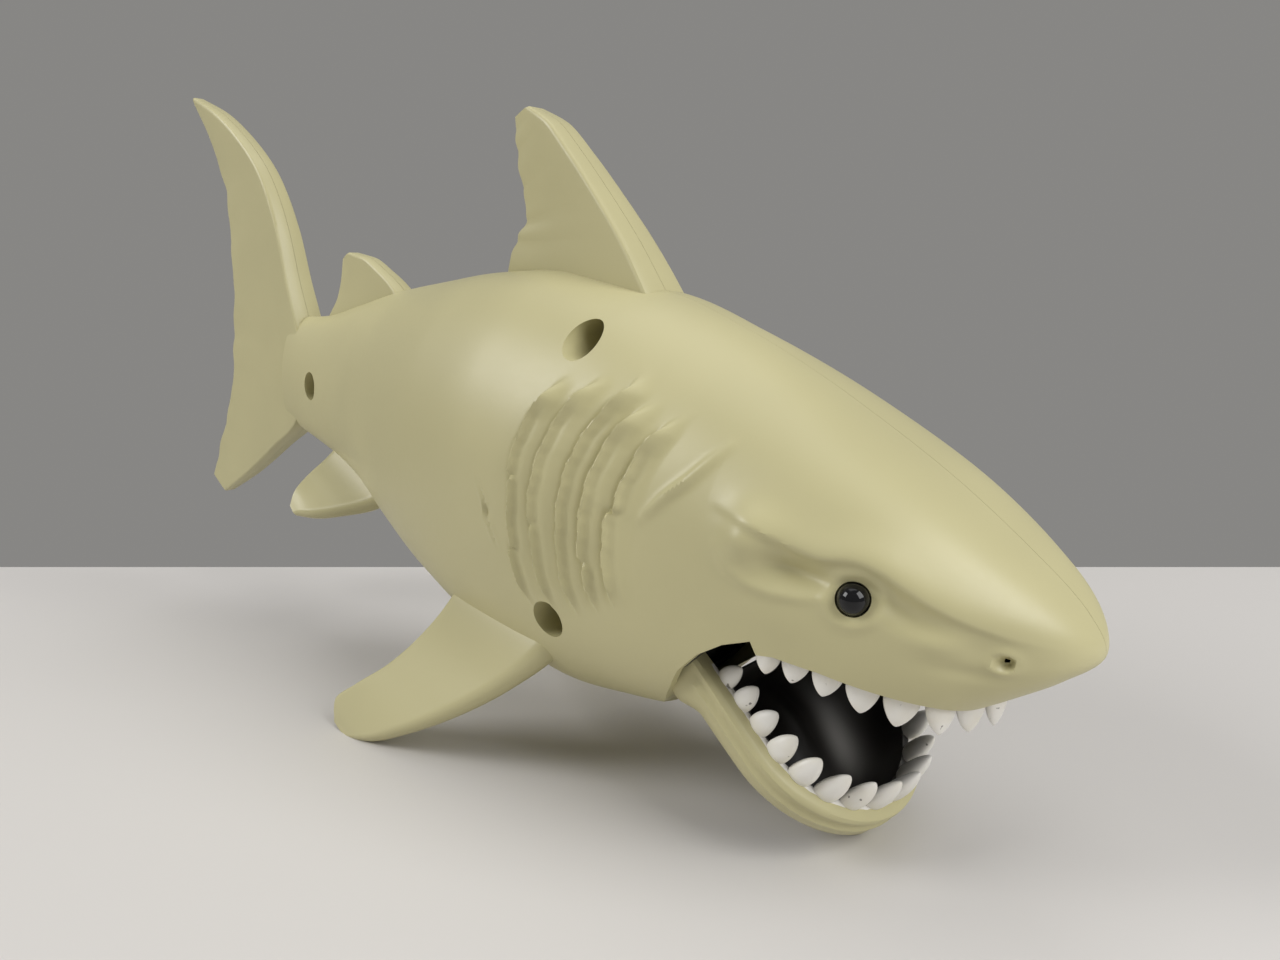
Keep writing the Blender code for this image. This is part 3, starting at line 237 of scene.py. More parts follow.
# Stage, in metres: the floor, the camera, and the lamps with place, size and power
FLOOR_SIZE, FLOOR_REACH = 4.0, 0.372
AZIMUTH, ELEVATION = math.radians(40.0), math.radians(11.0)
CAMERA_AHEAD, CAMERA_ACROSS, CAMERA_HEIGHT = 0.041, -0.1675, 0.1065
AIM = Vector((0.0, 0.0, 0.06))
LAMPS = (
    ("key", (0.95, 0.05, 0.75), 0.8, 10.5),
    ("fill", (-0.70, -0.85, 0.80), 0.6, 9.0),
    ("top", (-0.1, 0.1, 1.2), 0.9, 3.0),
)


def length(name, description, default):
    return bpy.props.FloatProperty(name=name, description=description, default=default, unit="LENGTH")


def colour_of(name, description, default):
    return bpy.props.FloatVectorProperty(name=name, description=description, subtype="COLOR", size=3,
                                         min=0.0, max=1.0, default=default)


class SharkForm(bpy.types.PropertyGroup):
    """Sizes a user would change"""
    gill_lift: length("Gill Lift", "Height of the step at each gill edge", 0.0016)
    brow_rise: length("Brow Rise", "Height of the ridge over the eye", 0.0011)
    brow_hollow: length("Brow Hollow", "Depth of the hollow under the ridge", 0.0021)
    seam_gap: length("Seam Gap", "Gap between the two half shells", 0.00008)


class SharkPaint(bpy.types.PropertyGroup):
    """Colours a user would change"""
    plastic: colour_of("Plastic", "Moulded greige plastic", (0.500, 0.462, 0.255))
    white: colour_of("Tooth White", "Paint of the teeth", (0.80, 0.78, 0.73))
    black: colour_of("Mouth Black", "Paint of the mouth's inside", (0.014, 0.012, 0.010))
    floor: colour_of("Floor", "Pale floor", (0.62, 0.60, 0.58))


def form():
    return bpy.context.scene.toy_shark_form


def paint():
    return bpy.context.scene.toy_shark_paint


def half_gap():
    return 0.5 * form().seam_gap / MM


# Curves and form functions

def flow(xs, ys, x):
    """Smooth curve through the points, without overshoot between them."""
    xs, ys, x = np.asarray(xs, float), np.asarray(ys, float), np.asarray(x, float)
    steps = np.diff(xs)
    slopes = np.diff(ys) / steps
    tangents = np.zeros(len(xs))
    tangents[0], tangents[-1] = slopes[0], slopes[-1]
    w1, w2 = 2.0 * steps[1:] + steps[:-1], steps[1:] + 2.0 * steps[:-1]
    same = slopes[:-1] * slopes[1:] > 0.0
    safe0, safe1 = np.where(same, slopes[:-1], 1.0), np.where(same, slopes[1:], 1.0)
    tangents[1:-1] = np.where(same, (w1 + w2) / (w1 / safe0 + w2 / safe1), 0.0)
    x = np.clip(x, xs[0], xs[-1])
    k = np.clip(np.searchsorted(xs, x) - 1, 0, len(xs) - 2)
    h = steps[k]
    t = (x - xs[k]) / h
    return (ys[k] * (1 + 2 * t) * (1 - t) ** 2 + tangents[k] * h * t * (1 - t) ** 2
            + ys[k + 1] * t * t * (3 - 2 * t) + tangents[k + 1] * h * t * t * (t - 1))


def along(points, t):
    """Points at shares t along a smooth curve through evenly spaced points."""
    table = np.asarray(points, float)
    at = np.asarray(t, float) * (len(table) - 1)
    if table.ndim == 1:
        return flow(np.arange(len(table)), table, at)
    steps = np.arange(len(table))
    return np.stack([flow(steps, table[:, c], at) for c in range(table.shape[1])], axis=-1)


def ease(low, high, x):
    t = np.clip((np.asarray(x, float) - low) / (high - low), 0.0, 1.0)
    return t * t * (3.0 - 2.0 * t)


def hump(x, width):
    """Round swell of height 1 at x = 0."""
    return np.exp(-(x / width) ** 2)


def polyline_distance(line, s, level):
    """Distance from the points to a line of (behind, level) points, and the share along it."""
    line = np.asarray(line, float)
    best = np.full(np.shape(s), 1e9)
    share = np.zeros(np.shape(s))
    for k in range(len(line) - 1):
        a, b = line[k], line[k + 1]
        run = b - a
        t = np.clip(((s - a[0]) * run[0] + (level - a[1]) * run[1]) / run.dot(run), 0.0, 1.0)
        d = np.hypot(s - a[0] - t * run[0], level - a[1] - t * run[1])
        nearer = d < best
        best = np.where(nearer, d, best)
        share = np.where(nearer, (k + t) / (len(line) - 1), share)
    return best, share


def stations(s):
    """Body values at s behind the snout; the root of s rounds the tip."""
    roots = np.sqrt(BODY[:, 0])
    return [flow(roots, BODY[:, c], np.sqrt(np.maximum(s, 0.0))) for c in range(1, 7)]


def section(s, angle):
    """Bare skin: outward distance, level, and the outward normal across the body."""
    top, belly, half, middle, full_up, full_down = stations(s)
    up = np.cos(angle) >= 0.0
    full = np.where(up, full_up, full_down)
    height = np.maximum(np.where(up, top - middle, middle - belly), 0.02)
    c, r = np.abs(np.cos(angle)), np.abs(np.sin(angle))
    y = half * r ** (2.0 / full)
    z = height * c ** (2.0 / full)
    wide = np.maximum(half, 0.02)
    ny, nz = (y / wide) ** (full - 1.0) / wide, (z / height) ** (full - 1.0) / height
    size = np.maximum(np.hypot(ny, nz), 1e-9)
    sign = np.where(up, 1.0, -1.0)
    return y, middle + sign * z, ny / size, sign * nz / size


def gill_bow(level):
    reach = np.clip(level, -GILL_BOW_LIMIT, GILL_BOW_LIMIT) - GILL_CROWN_LEVEL
    return np.where(reach > 0.0, GILL_BOW_UP, GILL_BOW_DOWN) * reach ** 2


def gill_relief(place, level):
    """Flaps that rise to their free rear edge and drop there, with nicks in the edge."""
    lift = np.zeros(np.shape(place))
    front = np.full(np.shape(place), GILL_FRONT)
    wobble = 0.16 * np.sin(level * 0.9 + 1.0) + 0.10 * np.sin(level * 2.3)
    for crown, top, bottom, nicks in GILLS:
        edge = crown + wobble
        notch = np.zeros(np.shape(place))
        for at, jump in nicks:
            edge = edge + jump * ease(at - 0.4, at + 0.4, level)
            notch += hump(level - at, 0.5)
        share = np.clip((place - front) / (edge - front), 0.0, 1.0)
        window = ease(bottom - 3.0, bottom + 4.0, level) * (1.0 - ease(top - 3.0, top + 2.5, level))
        behind = place - edge
        ramp = share ** 1.7 * (1.0 - ease(-0.05, 0.30, behind)) * (place > front)
        crest = 0.30 * hump(behind + 0.35, 0.38)
        crest = crest - 0.20 * hump(behind + 1.7, 0.9)
        lift += window * (ramp + crest - 0.5 * notch * hump(behind + 0.3, 0.8))
        lift -= GILL_SINK * window * hump(behind - 0.9, 0.7)
        lift += GILL_TOP * np.exp(-((level - top + 1.5) / 3.2) ** 2 - ((behind + 1.2) / 1.7) ** 2)
        front = edge + 0.3
    return lift * form().gill_lift / MM


def head_relief(s, level):
    """Brow ridge, the hollow under it, and the swells of the head."""
    ridge, rise, hollow = (flow(BROW[:, 0], BROW[:, c], s) for c in (1, 2, 3))
    t = level - ridge
    crest = np.where(t > 0.0, hump(t, 3.8), hump(t, 0.95))
    lift = form().brow_rise / MM * rise * crest
    lift = lift - form().brow_hollow / MM * hollow * hump(t + 3.6, 2.4)
    near, share = polyline_distance(EYELID, s, level)
    lift = lift + 0.7 * hump(near, 1.3) * np.sin(np.pi * np.clip(share, 0.03, 0.97)) ** 0.6
    for s0, z0, length, height, amount in SWELLS:
        lift = lift + amount * np.exp(-((s - s0) / length) ** 2 - ((level - z0) / height) ** 2)
    socket = np.hypot(s - EYE_PLACE[0], level - EYE_PLACE[1])
    lift = lift + 0.45 * hump(socket - 4.4, 1.0) - 0.5 * hump(socket, 3.0)
    nostril = np.hypot(s - 10.6, level + 2.6)
    lift = lift - 2.0 * np.exp(-(nostril / 1.15) ** 4) + 0.25 * hump(nostril - 1.9, 0.7)
    return lift * ease(0.0, 12.0, s) * (1.0 - ease(70.0, 84.0, s))


def flank_relief(s, level):
    """Fold behind the head and the scar behind the gills."""
    near, share = polyline_distance(FOLD, s, level)
    lift = 1.1 * hump(near, 1.0) * np.sin(np.pi * np.clip(share, 0.04, 0.96)) ** 0.6
    near, share = polyline_distance(SCAR, s, level)
    fade = np.sin(np.pi * np.clip(share, 0.02, 0.98)) ** 0.5
    edges, slit = hump(near - 0.55, 0.5), hump(near, 0.45)
    lift = lift + fade * (0.32 * edges - 0.42 * slit)
    pit = np.hypot(s - 113.2, level + 7.6)
    return lift - 0.8 * hump(pit, 1.1)


def skin(s, place, angle, inset=0.0, relief=True):
    """Skin points of the right half at s behind the snout; place follows the gill rings."""
    y, level, ny, nz = section(s, angle)
    lift = -inset + np.zeros(np.shape(y))
    if relief:
        flank = ease(0.0, 0.35, np.abs(np.sin(angle)))
        lift = lift + head_relief(s, level) * flank + gill_relief(place, level) + flank_relief(s, level)
    return np.stack((-s, -np.maximum(y + ny * lift, 0.0), level + nz * lift), axis=-1)


def skin_reach(s, level):
    """Distance from the middle plane to the bare skin at a place and level."""
    angles = np.linspace(0.02, math.pi - 0.02, 1500)
    y, z, _ny, _nz = section(np.full(1500, float(s)), angles)
    return float(y[np.argmin(np.abs(z - level))])


# Making meshes with Blender's own tools

def select_only(obj):
    bpy.ops.object.select_all(action="DESELECT")
    obj.select_set(True)
    bpy.context.view_layer.objects.active = obj


def edit_all(obj, *steps):
    """Run mesh operators on all points of the object."""
    select_only(obj)
    bpy.ops.object.mode_set(mode="EDIT")
    bpy.ops.mesh.select_all(action="SELECT")
    for step, settings in steps:
        step(**settings)
    bpy.ops.object.mode_set(mode="OBJECT")


def coordinates(obj):
    """The mesh's points, in metres."""
    flat = np.empty(len(obj.data.vertices) * 3)
    obj.data.vertices.foreach_get("co", flat)
    return flat.reshape(-1, 3)


def moved_grid(name, points):
    """A primitive grid whose vertices are moved to a table of points, in millimetres."""
    rows, columns = points.shape[:2]
    bpy.ops.mesh.primitive_grid_add(x_subdivisions=rows - 1, y_subdivisions=columns - 1, size=2.0)
    obj = bpy.context.object
    obj.name = name
    obj.data.name = name
    place = (coordinates(obj)[:, :2] + 1.0) * 0.5
    i, j = np.rint(place * (rows - 1, columns - 1)).astype(int).T
    obj.data.vertices.foreach_set("co", (points[i, j] * MM).ravel())
    obj.data.update()
    return obj


def close_up(obj):
    """Merge doubled points, fill the open ends and turn the faces outwards."""
    mesh = bpy.ops.mesh
    edit_all(obj,
             (mesh.remove_doubles, {"threshold": MERGE}),
             (mesh.select_all, {"action": "DESELECT"}),
             (mesh.select_mode, {"type": "EDGE"}),
             (mesh.select_non_manifold, {"extend": False, "use_wire": True, "use_boundary": True,
                                         "use_multi_face": False, "use_non_contiguous": False,
                                         "use_verts": False}),
             (mesh.edge_face_add, {}),
             (mesh.select_all, {"action": "SELECT"}),
             (mesh.normals_make_consistent, {"inside": False}))
    return obj


def tube(name, rings):
    """Closed solid through rings of equal count, with both ends filled."""
    rings = np.asarray(rings, float)
    rings = np.concatenate((rings, rings[:, :1]), axis=1)
    obj = moved_grid(name, rings)
    edit_all(obj, (bpy.ops.mesh.remove_doubles, {"threshold": MERGE}))
    bm = bmesh.new()
    bm.from_mesh(obj.data)
    edges = [e for e in bm.edges if e.is_boundary]
    bmesh.ops.holes_fill(bm, edges=edges, sides=0)
    bmesh.ops.recalc_face_normals(bm, faces=bm.faces)
    if bm.calc_volume(signed=True) < 0.0:
        bmesh.ops.reverse_faces(bm, faces=bm.faces)
    bm.to_mesh(obj.data)
    bm.free()
    return obj


def rod(name, radius, start, end):
    """Round bar between two points in millimetres."""
    start, end = Vector(start) * MM, Vector(end) * MM
    depth = (end - start).length
    bpy.ops.mesh.primitive_cylinder_add(vertices=64, radius=radius * MM, depth=depth)
    obj = bpy.context.object
    obj.name = name
    turn = (end - start).to_track_quat("Z", "Y").to_matrix().to_4x4()
    obj.data.transform(Matrix.Translation((start + end) * 0.5) @ turn)
    return obj


def slab(name, outline, low, high):
    """Outline in the XZ plane pulled across from low to high, in millimetres."""
    rings = [[(x, y, z) for x, z in outline] for y in (low, high)]
    return tube(name, rings)


def combine(target, other, operation):
    """Boolean of another object on the target, applied."""
    select_only(target)
    step = target.modifiers.new("combine", "BOOLEAN")
    step.operation, step.solver, step.object = operation, "EXACT", other
    bpy.ops.object.modifier_apply(modifier=step.name)
    bpy.data.objects.remove(other, do_unlink=True)
    return target


def finish_piece(obj, matrix, body, replaced, material, angle=35.0):
    """Place the mesh, smooth it and hang it on its CAD body."""
    obj.data.transform(matrix)
    obj.data.update()
    edit_all(obj, (bpy.ops.mesh.remove_doubles, {"threshold": 0.5 * MERGE}),
             (bpy.ops.mesh.dissolve_degenerate, {"threshold": 0.25 * MERGE}))
    bpy.ops.object.shade_smooth_by_angle(angle=math.radians(angle))
    if material:
        obj.data.materials.clear()
        obj.data.materials.append(material)
    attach(obj, body)
    if replaced:
        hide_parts(*replaced)
    return obj


def cut_at_table(obj, matrix):
    """Cut off what would hang below the table once the matrix has placed the mesh."""
    table = slab("table", ((-200.0, 0.0), (200.0, 0.0), (200.0, -60.0), (-200.0, -60.0)), -90.0, 90.0)
    table.data.transform(matrix.inverted())
    return combine(obj, table, "DIFFERENCE")


# Shell forms

def half_body(side):
    """Solid half body with all its relief, from a grid round and along it."""
    places = np.concatenate((
        np.array((0.0, 0.12, 0.4, 0.8, 1.3, 1.9, 2.6, 3.4)), np.arange(4.2, 62.0, 0.62),
        np.arange(62.0, 74.0, 0.6), np.arange(74.0, 110.5, 0.26), np.arange(110.5, 122.0, 0.5),
        np.arange(122.0, 238.1, 1.5)))
    count = 132
    shares = np.linspace(0.0, 1.0, count + 1)
    face = ease(6.0, 18.0, places) * (1.0 - ease(60.0, 76.0, places))
    crowd = (0.42 + 0.22 * face)[:, None]
    turn = 2.0 * math.pi
    angles = math.pi * (shares[None, :] + crowd * np.sin(turn * shares[None, :]) / turn)
    angles = angles - 0.10 * face[:, None] * np.sin(angles)
    place = np.broadcast_to(places[:, None], angles.shape)
    _y, level, _ny, _nz = section(place, angles)
    warp = ease(62.0, 80.0, place) * (1.0 - ease(108.0, 128.0, place))
    s = place - warp * gill_bow(level)
    points = skin(s, place, angles)
    points[0] = (0.0, 0.0, BODY[0, 1])
    points = np.concatenate((points, points[-1:] * (1.0, 0.0, 1.0)))
    points[..., 1] = side * (np.abs(points[..., 1]) + half_gap())
    return close_up(moved_grid("half_body", points))


def fin_curves(shape):
    t = np.linspace(0.0, 1.0, shape["rows"] + 1)
    return t, along(shape["lead"], t), along(shape["trail"], t), along(shape["half"], t)


def blade(u, nose):
    """Round rise over a fin's nose, and the share of the fall behind it."""
    u, nose = u[None, :], nose[:, None]
    full = np.clip(u / nose, 0.0, 1.0)
    fall = np.clip((u - nose) / (1.0 - nose), 0.0, 1.0)
    return np.sqrt(1.0 - (1.0 - full) ** 2), fall


def plane_fin(name, shape, side):
    """Half of a fin on the middle plane: blunt leading face, thin ragged trailing edge."""
    t, lead, trail, half = fin_curves(shape)
    depth, waves = shape["ragged"]
    fade = ease(0.08, 0.2, t) * (1.0 - ease(0.9, 0.97, t))
    wave = np.abs(np.sin(math.pi * waves * 0.5 * t)) + 0.5 * np.sin(waves * 1.37 * t + 0.6)
    wave = wave + 0.3 * np.sin(waves * 4.3 * t)
    sway = 0.2 * depth * fade * np.cos(waves * 2.3 * t)
    trail = trail + np.stack((-depth * fade * (wave - 0.5), sway), axis=-1)
    thin = np.minimum(0.9, half)
    chord = trail - lead
    reach = np.maximum(np.linalg.norm(chord, axis=1), 0.6)
    u = np.concatenate((np.linspace(0.0, 0.12, 12), np.linspace(0.14, 0.97, 40), (0.985, 1.0)))
    nose = np.minimum(1.1, 0.3 * reach) / reach
    edge, fall = blade(u, nose)
    thick = half[:, None] * (0.78 + 0.22 * edge) + (thin - half)[:, None] * fall ** 1.15
    ripple = 0.08 * np.sin(2.0 * math.pi * waves * 0.5 * t)[:, None] * ease(0.5, 0.9, u)[None, :]
    thick = np.maximum(thick + (ripple * fade[:, None] if depth else 0.0), FIN_EDGE)
    x = lead[:, 0, None] + chord[:, 0, None] * u[None, :]
    z = lead[:, 1, None] + chord[:, 1, None] * u[None, :]
    outer = np.stack((x, thick, z), axis=-1)
    flat = outer * (1.0, 0.0, 1.0)
    rings = np.concatenate((flat[:, :1], outer, flat[:, -1:]), axis=1)
    rings[..., 1] = side * (rings[..., 1] + half_gap())
    return tube(name, rings)


def side_fin(name, shape, side):
    """Paired fin: a blade between two edge curves, blunt in front and thin behind."""
    t, lead, trail, half = fin_curves(shape)
    ahead, before = np.minimum(t + 0.04, 1.0), np.maximum(t - 0.04, 0.0)
    run = along(shape["lead"], ahead) - along(shape["lead"], before)
    chord = trail - lead
    normal = np.cross(chord, run)
    normal /= np.linalg.norm(normal, axis=1)[:, None]
    reach = np.linalg.norm(chord, axis=1)
    thin = np.minimum(1.0, half)
    u = np.concatenate((np.linspace(0.0, 0.12, 12) ** 1.4 / 0.12 ** 0.4, np.linspace(0.14, 1.0, 30)))
    nose = np.minimum(1.3 * half, 0.3 * reach) / reach
    edge, fall = blade(u, nose)
    thick = half[:, None] * edge + (thin * 0.7 - half)[:, None] * fall ** 0.9
    thick[:, -1] *= 0.6
    base = lead[:, None, :] + chord[:, None, :] * u[None, :, None]
    lower = base - normal[:, None, :] * thick[..., None]
    upper = base + normal[:, None, :] * thick[..., None]
    rings = np.concatenate((upper, lower[:, ::-1][:, :-1]), axis=1)
    rings[..., 1] *= side
    return tube(name, rings)


def head_room(name, extra, last):
    """Both halves of the head's hollow in one solid, inset by an extra clearance."""
    places = np.arange(8.0, last + 0.01, 2.0)
    angles = np.linspace(0.0, math.pi, 49)
    s, a = np.meshgrid(places, angles, indexing="ij")
    half = skin(s, s, a, inset=HEAD_WALL + extra, relief=False)
    other = half[:, 1:-1][:, ::-1].copy()
    other[..., 1] *= -1.0
    return tube(name, np.concatenate((half, other), axis=1))


def mouth_slab(name, rest):
    return slab(name, LIP + rest, -WIDE, WIDE)


def eye_frame(side):
    """Skin point of an eye and the direction out of it."""
    s, level = EYE_PLACE
    reach = skin_reach(s, level)
    along_run = (skin_reach(s + 3.0, level) - skin_reach(s - 3.0, level)) / 6.0
    up_run = (skin_reach(s, level + 3.0) - skin_reach(s, level - 3.0)) / 6.0
    return Vector((-s, side * reach, level)), Vector((along_run, side, -up_run)).normalized()


def bead(name, side, radius, sink):
    """Round bead in the eye's place."""
    point, out = eye_frame(side)
    bpy.ops.mesh.primitive_uv_sphere_add(segments=48, ring_count=24, radius=radius * MM)
    obj = bpy.context.object
    obj.name = name
    turn = out.to_track_quat("Z", "Y").to_matrix().to_4x4()
    obj.data.transform(Matrix.Translation((point - out * sink) * MM) @ turn)
    return obj


def half_shell(side, label):
    """One half of the shark with fins, mouth, recesses and eye socket."""
    shell = half_body(side)
    shell.name = f"shell_{label}"
    for name, shape in (("dorsal", DORSAL), ("second_dorsal", SECOND_DORSAL), ("caudal", CAUDAL)):
        combine(shell, plane_fin(name, shape, side), "UNION")
    for name, shape in (("pectoral", PECTORAL), ("pelvic", PELVIC)):
        combine(shell, side_fin(name, shape, side), "UNION")
    room = head_room("room", 0.0, 84.0)
    below = ((-120.0, -80.0), (-120.0, ROOM_TOP), (20.0, ROOM_TOP), (20.0, -80.0))
    combine(room, slab("below", below, -WIDE, WIDE), "INTERSECT")
    combine(shell, room, "DIFFERENCE")
    combine(shell, mouth_slab("mouth", THROAT), "DIFFERENCE")
    combine(shell, bead("socket", side, EYE_RADIUS + SOCKET_CLEAR, SOCKET_SINK), "DIFFERENCE")
    if side == RIGHT:
        for name, (behind, level) in SCREWS.items():
            hole = rod("recess", RECESS_RADIUS, (-behind, side * (SCREW_FLOOR + 0.1), level),
                       (-behind, side * WIDE, level))
            combine(shell, hole, "DIFFERENCE")
    return cut_at_table(shell, SHARK)


# Jaw forms

def bend_share(u, length):
    """How far u is along the jaw's round front, from 0 at the bend to 1 at the length."""
    return np.clip((u - JAW_BEND) / (length - JAW_BEND), 0.0, 1.0)


def jaw_half_width(u):
    share = bend_share(u, JAW_LENGTH)
    return JAW_HALF_WIDTH * (1.0 - share ** JAW_ROUND) ** (1.0 / JAW_ROUND)


def jaw_level(u, column):
    return flow(JAW_SIDE[:, 0], JAW_SIDE[:, column], u)


def plan_normal(u, y):
    """Outward direction of the jaw's plan curve at a point near it."""
    share = bend_share(u, JAW_LENGTH)
    nu = share ** (JAW_ROUND - 1.0) / (JAW_LENGTH - JAW_BEND)
    ny = (np.abs(y) / JAW_HALF_WIDTH) ** (JAW_ROUND - 1.0) / JAW_HALF_WIDTH
    size = np.maximum(np.hypot(nu, ny), 1e-9)
    return nu / size, np.sign(y) * ny / size


def jaw_inward(u, y):
    """Distance from the jaw's plan edge inwards."""
    share = bend_share(u, JAW_LENGTH)
    whole = (share ** JAW_ROUND + (np.abs(y) / JAW_HALF_WIDTH) ** JAW_ROUND) ** (1.0 / JAW_ROUND)
    return (1.0 - whole) * JAW_HALF_WIDTH


def gum_swell(u, y):
    share = np.clip(jaw_inward(u, y) / GUM_WIDTH, 0.0, 1.0)
    return GUM_SWELL * np.maximum(np.sin(math.pi * share), 0.0) ** 0.8


def squared(angle, full):
    """Cosine and sine of the angle, squared off by the fullness."""
    c = np.cos(angle)
    return np.sign(c) * np.abs(c) ** (2.0 / full), np.abs(np.sin(angle)) ** (2.0 / full)


def jaw_scoop():
    """The jaw in one skin: outside, edge bead, gum ledge, inner wall and floor with tongue."""
    back = np.arange(-4.3, JAW_BEND, 0.55)
    turn = np.linspace(0.0, 1.0, 110)[:-1]
    front = JAW_BEND + (JAW_LENGTH - 0.03 - JAW_BEND) * np.sin(0.5 * math.pi * turn)
    u = np.concatenate((back, front, (JAW_LENGTH - 0.03,)))[:, None]
    half = np.maximum(jaw_half_width(u), 0.3)
    rim, keel = jaw_level(u, 1), jaw_level(u, 2)
    shoulder = rim - np.minimum(2.2, 0.35 * (rim - keel))
    full = 6.0 - 4.1 * ease(0.0, JAW_REAR + 4.0, u)
    across, down = squared(np.linspace(0.0, math.pi, 89)[None, :], full)
    y, z = -half * across, shoulder - (shoulder - keel) * down
    edge = np.linspace(0.0, 1.0, 9)[1:][None, :]
    corner = np.minimum(np.minimum(EDGE_ROUND, 0.5 * (rim - shoulder)), 0.6 * half)
    z_edge = rim - corner - (rim - corner - shoulder) * (1.0 - edge)
    y = np.concatenate((-half + 0.0 * edge, y, half + 0.0 * edge), axis=1)
    z = np.concatenate((z_edge[:, ::-1], z, z_edge), axis=1)
    x = np.broadcast_to(u, y.shape).copy()
    nu, ny = plan_normal(x, y)
    drop = rim - z
    reach = ease(3.0, 16.0, u)
    push = reach * sum(height * hump(drop - level, width) for level, width, height in JAW_BEADS)
    x, y = x + nu * push, y + ny * push
    share = bend_share(u, JAW_LENGTH - GUM_WIDTH)
    in_half = (JAW_HALF_WIDTH - GUM_WIDTH) * (1.0 - share ** JAW_ROUND) ** (1.0 / JAW_ROUND)
    depth = np.maximum(rim - keel - JAW_SKIN, 0.0) * ease(JAW_REAR - 2.6, JAW_REAR - 0.6, u)
    depth = np.minimum(depth, SCOOP_SILL + 20.0 * ease(JAW_REAR + 0.8, JAW_REAR + 3.2, u))
    depth = depth * (1.0 - share ** 5.0) ** 0.2
    across, down = squared(np.linspace(0.0, math.pi, 81)[None, :], 3.4)
    y_in, z_in = in_half * across, rim - depth * down
    tongue = 4.2 * np.exp(-((u - 27.0) / 11.0) ** 2 - (y_in / 7.5) ** 2) * (1.0 - share ** 3)
    z_in = np.minimum(z_in + tongue * ease(0.5, 1.0, (rim - z_in) / np.maximum(depth, 0.01)), rim)
    z_in = z_in + reach * gum_swell(u, y_in)
    c = np.linspace(0.0, 1.0, 13)[None, :]
    ledge = half - corner + (in_half - half + corner) * c
    z_ledge = rim + reach * gum_swell(u, ledge)
    outside = np.stack((x, y, z), axis=-1)
    inner, gum = (np.stack((np.broadcast_to(u, wide.shape), wide, tall), axis=-1)
                  for wide, tall in ((y_in, z_in), (ledge, z_ledge)))
    other_gum = gum[:, ::-1] * (1.0, -1.0, 1.0)
    return np.concatenate((outside, gum, inner[:, 1:-1], other_gum), axis=1)


def lower_gum(share):
    inset = GUM_WIDTH - 0.5 * LOWER_FRONT[1] + 0.3
    half, reach = JAW_HALF_WIDTH - inset, JAW_LENGTH - inset - JAW_BEND
    root, bend = JAW_REAR - 1.0, 0.72
    if share > bend:
        return (JAW_BEND + (root - JAW_BEND) * (share - bend) / (1.0 - bend), half, 2.8)
    angle = 0.5 * math.pi * share / bend
    return (JAW_BEND + reach * max(math.cos(angle), 0.0) ** (2.0 / JAW_ROUND),
            half * math.sin(angle) ** (2.0 / JAW_ROUND), 2.8)


def upper_gum(share):
    inset = (HEAD_WALL + LINER_CLEAR + 0.5 * UPPER_FRONT[1] - 0.2) + 1.6 * max(1.0 - 2.0 * share, 0.0)
    front = LINER_FRONT + 0.5 * UPPER_FRONT[1]
    behind = front + (LINER_TEETH_END - front) * share ** 1.8
    rim = LIP[7:0:-1]
    level = float(np.interp(-behind, [p[0] for p in rim], [p[1] for p in rim]))
    reach = max(skin_reach(behind, level) - inset, 0.0) * min(1.0, 3.0 * share) ** 0.75
    return (-behind, reach, level - UPPER_DROP)


def tooth_row(path, count, front, rear):
    """Teeth along a row, the middle one first: place, outward direction, size."""
    shares = np.linspace(0.0, 1.0, 201)
    points = np.array([path(t) for t in shares])
    steps = np.linalg.norm(np.diff(points, axis=0), axis=1)
    lengths = np.concatenate(([0.0], np.cumsum(steps)))
    half_count = (count - 1) // 2
    shrink = [(k / half_count) ** 1.3 for k in range(half_count + 1)]
    sizes = [tuple(a + (b - a) * share for a, b in zip(front, rear)) for share in shrink]
    spans = [0.0]
    for k in range(half_count):
        spans.append(spans[-1] + 0.5 * (sizes[k][0] + sizes[k + 1][0]))
    stretch = lengths[-1] / (spans[-1] + 0.5 * sizes[-1][0])
    made = []
    for k, span in enumerate(spans):
        at = span * stretch
        here, ahead, behind = ([float(np.interp(s, lengths, points[:, c])) for c in (0, 1, 2)]
                               for s in (at, at + 1.0, max(at - 1.0, 0.0)))
        run = Vector((ahead[0] - behind[0], ahead[1] - behind[1], 0.0)).normalized()
        out = Vector((1.0, 0.0, 0.0)) if k == 0 else Vector((run.y, -run.x, 0.0))
        made.append((Vector(here), out, sizes[k]))
    mirrored = [(Vector((p.x, -p.y, p.z)), Vector((o.x, -o.y, 0.0)), size) for p, o, size in made[1:]]
    return made + mirrored


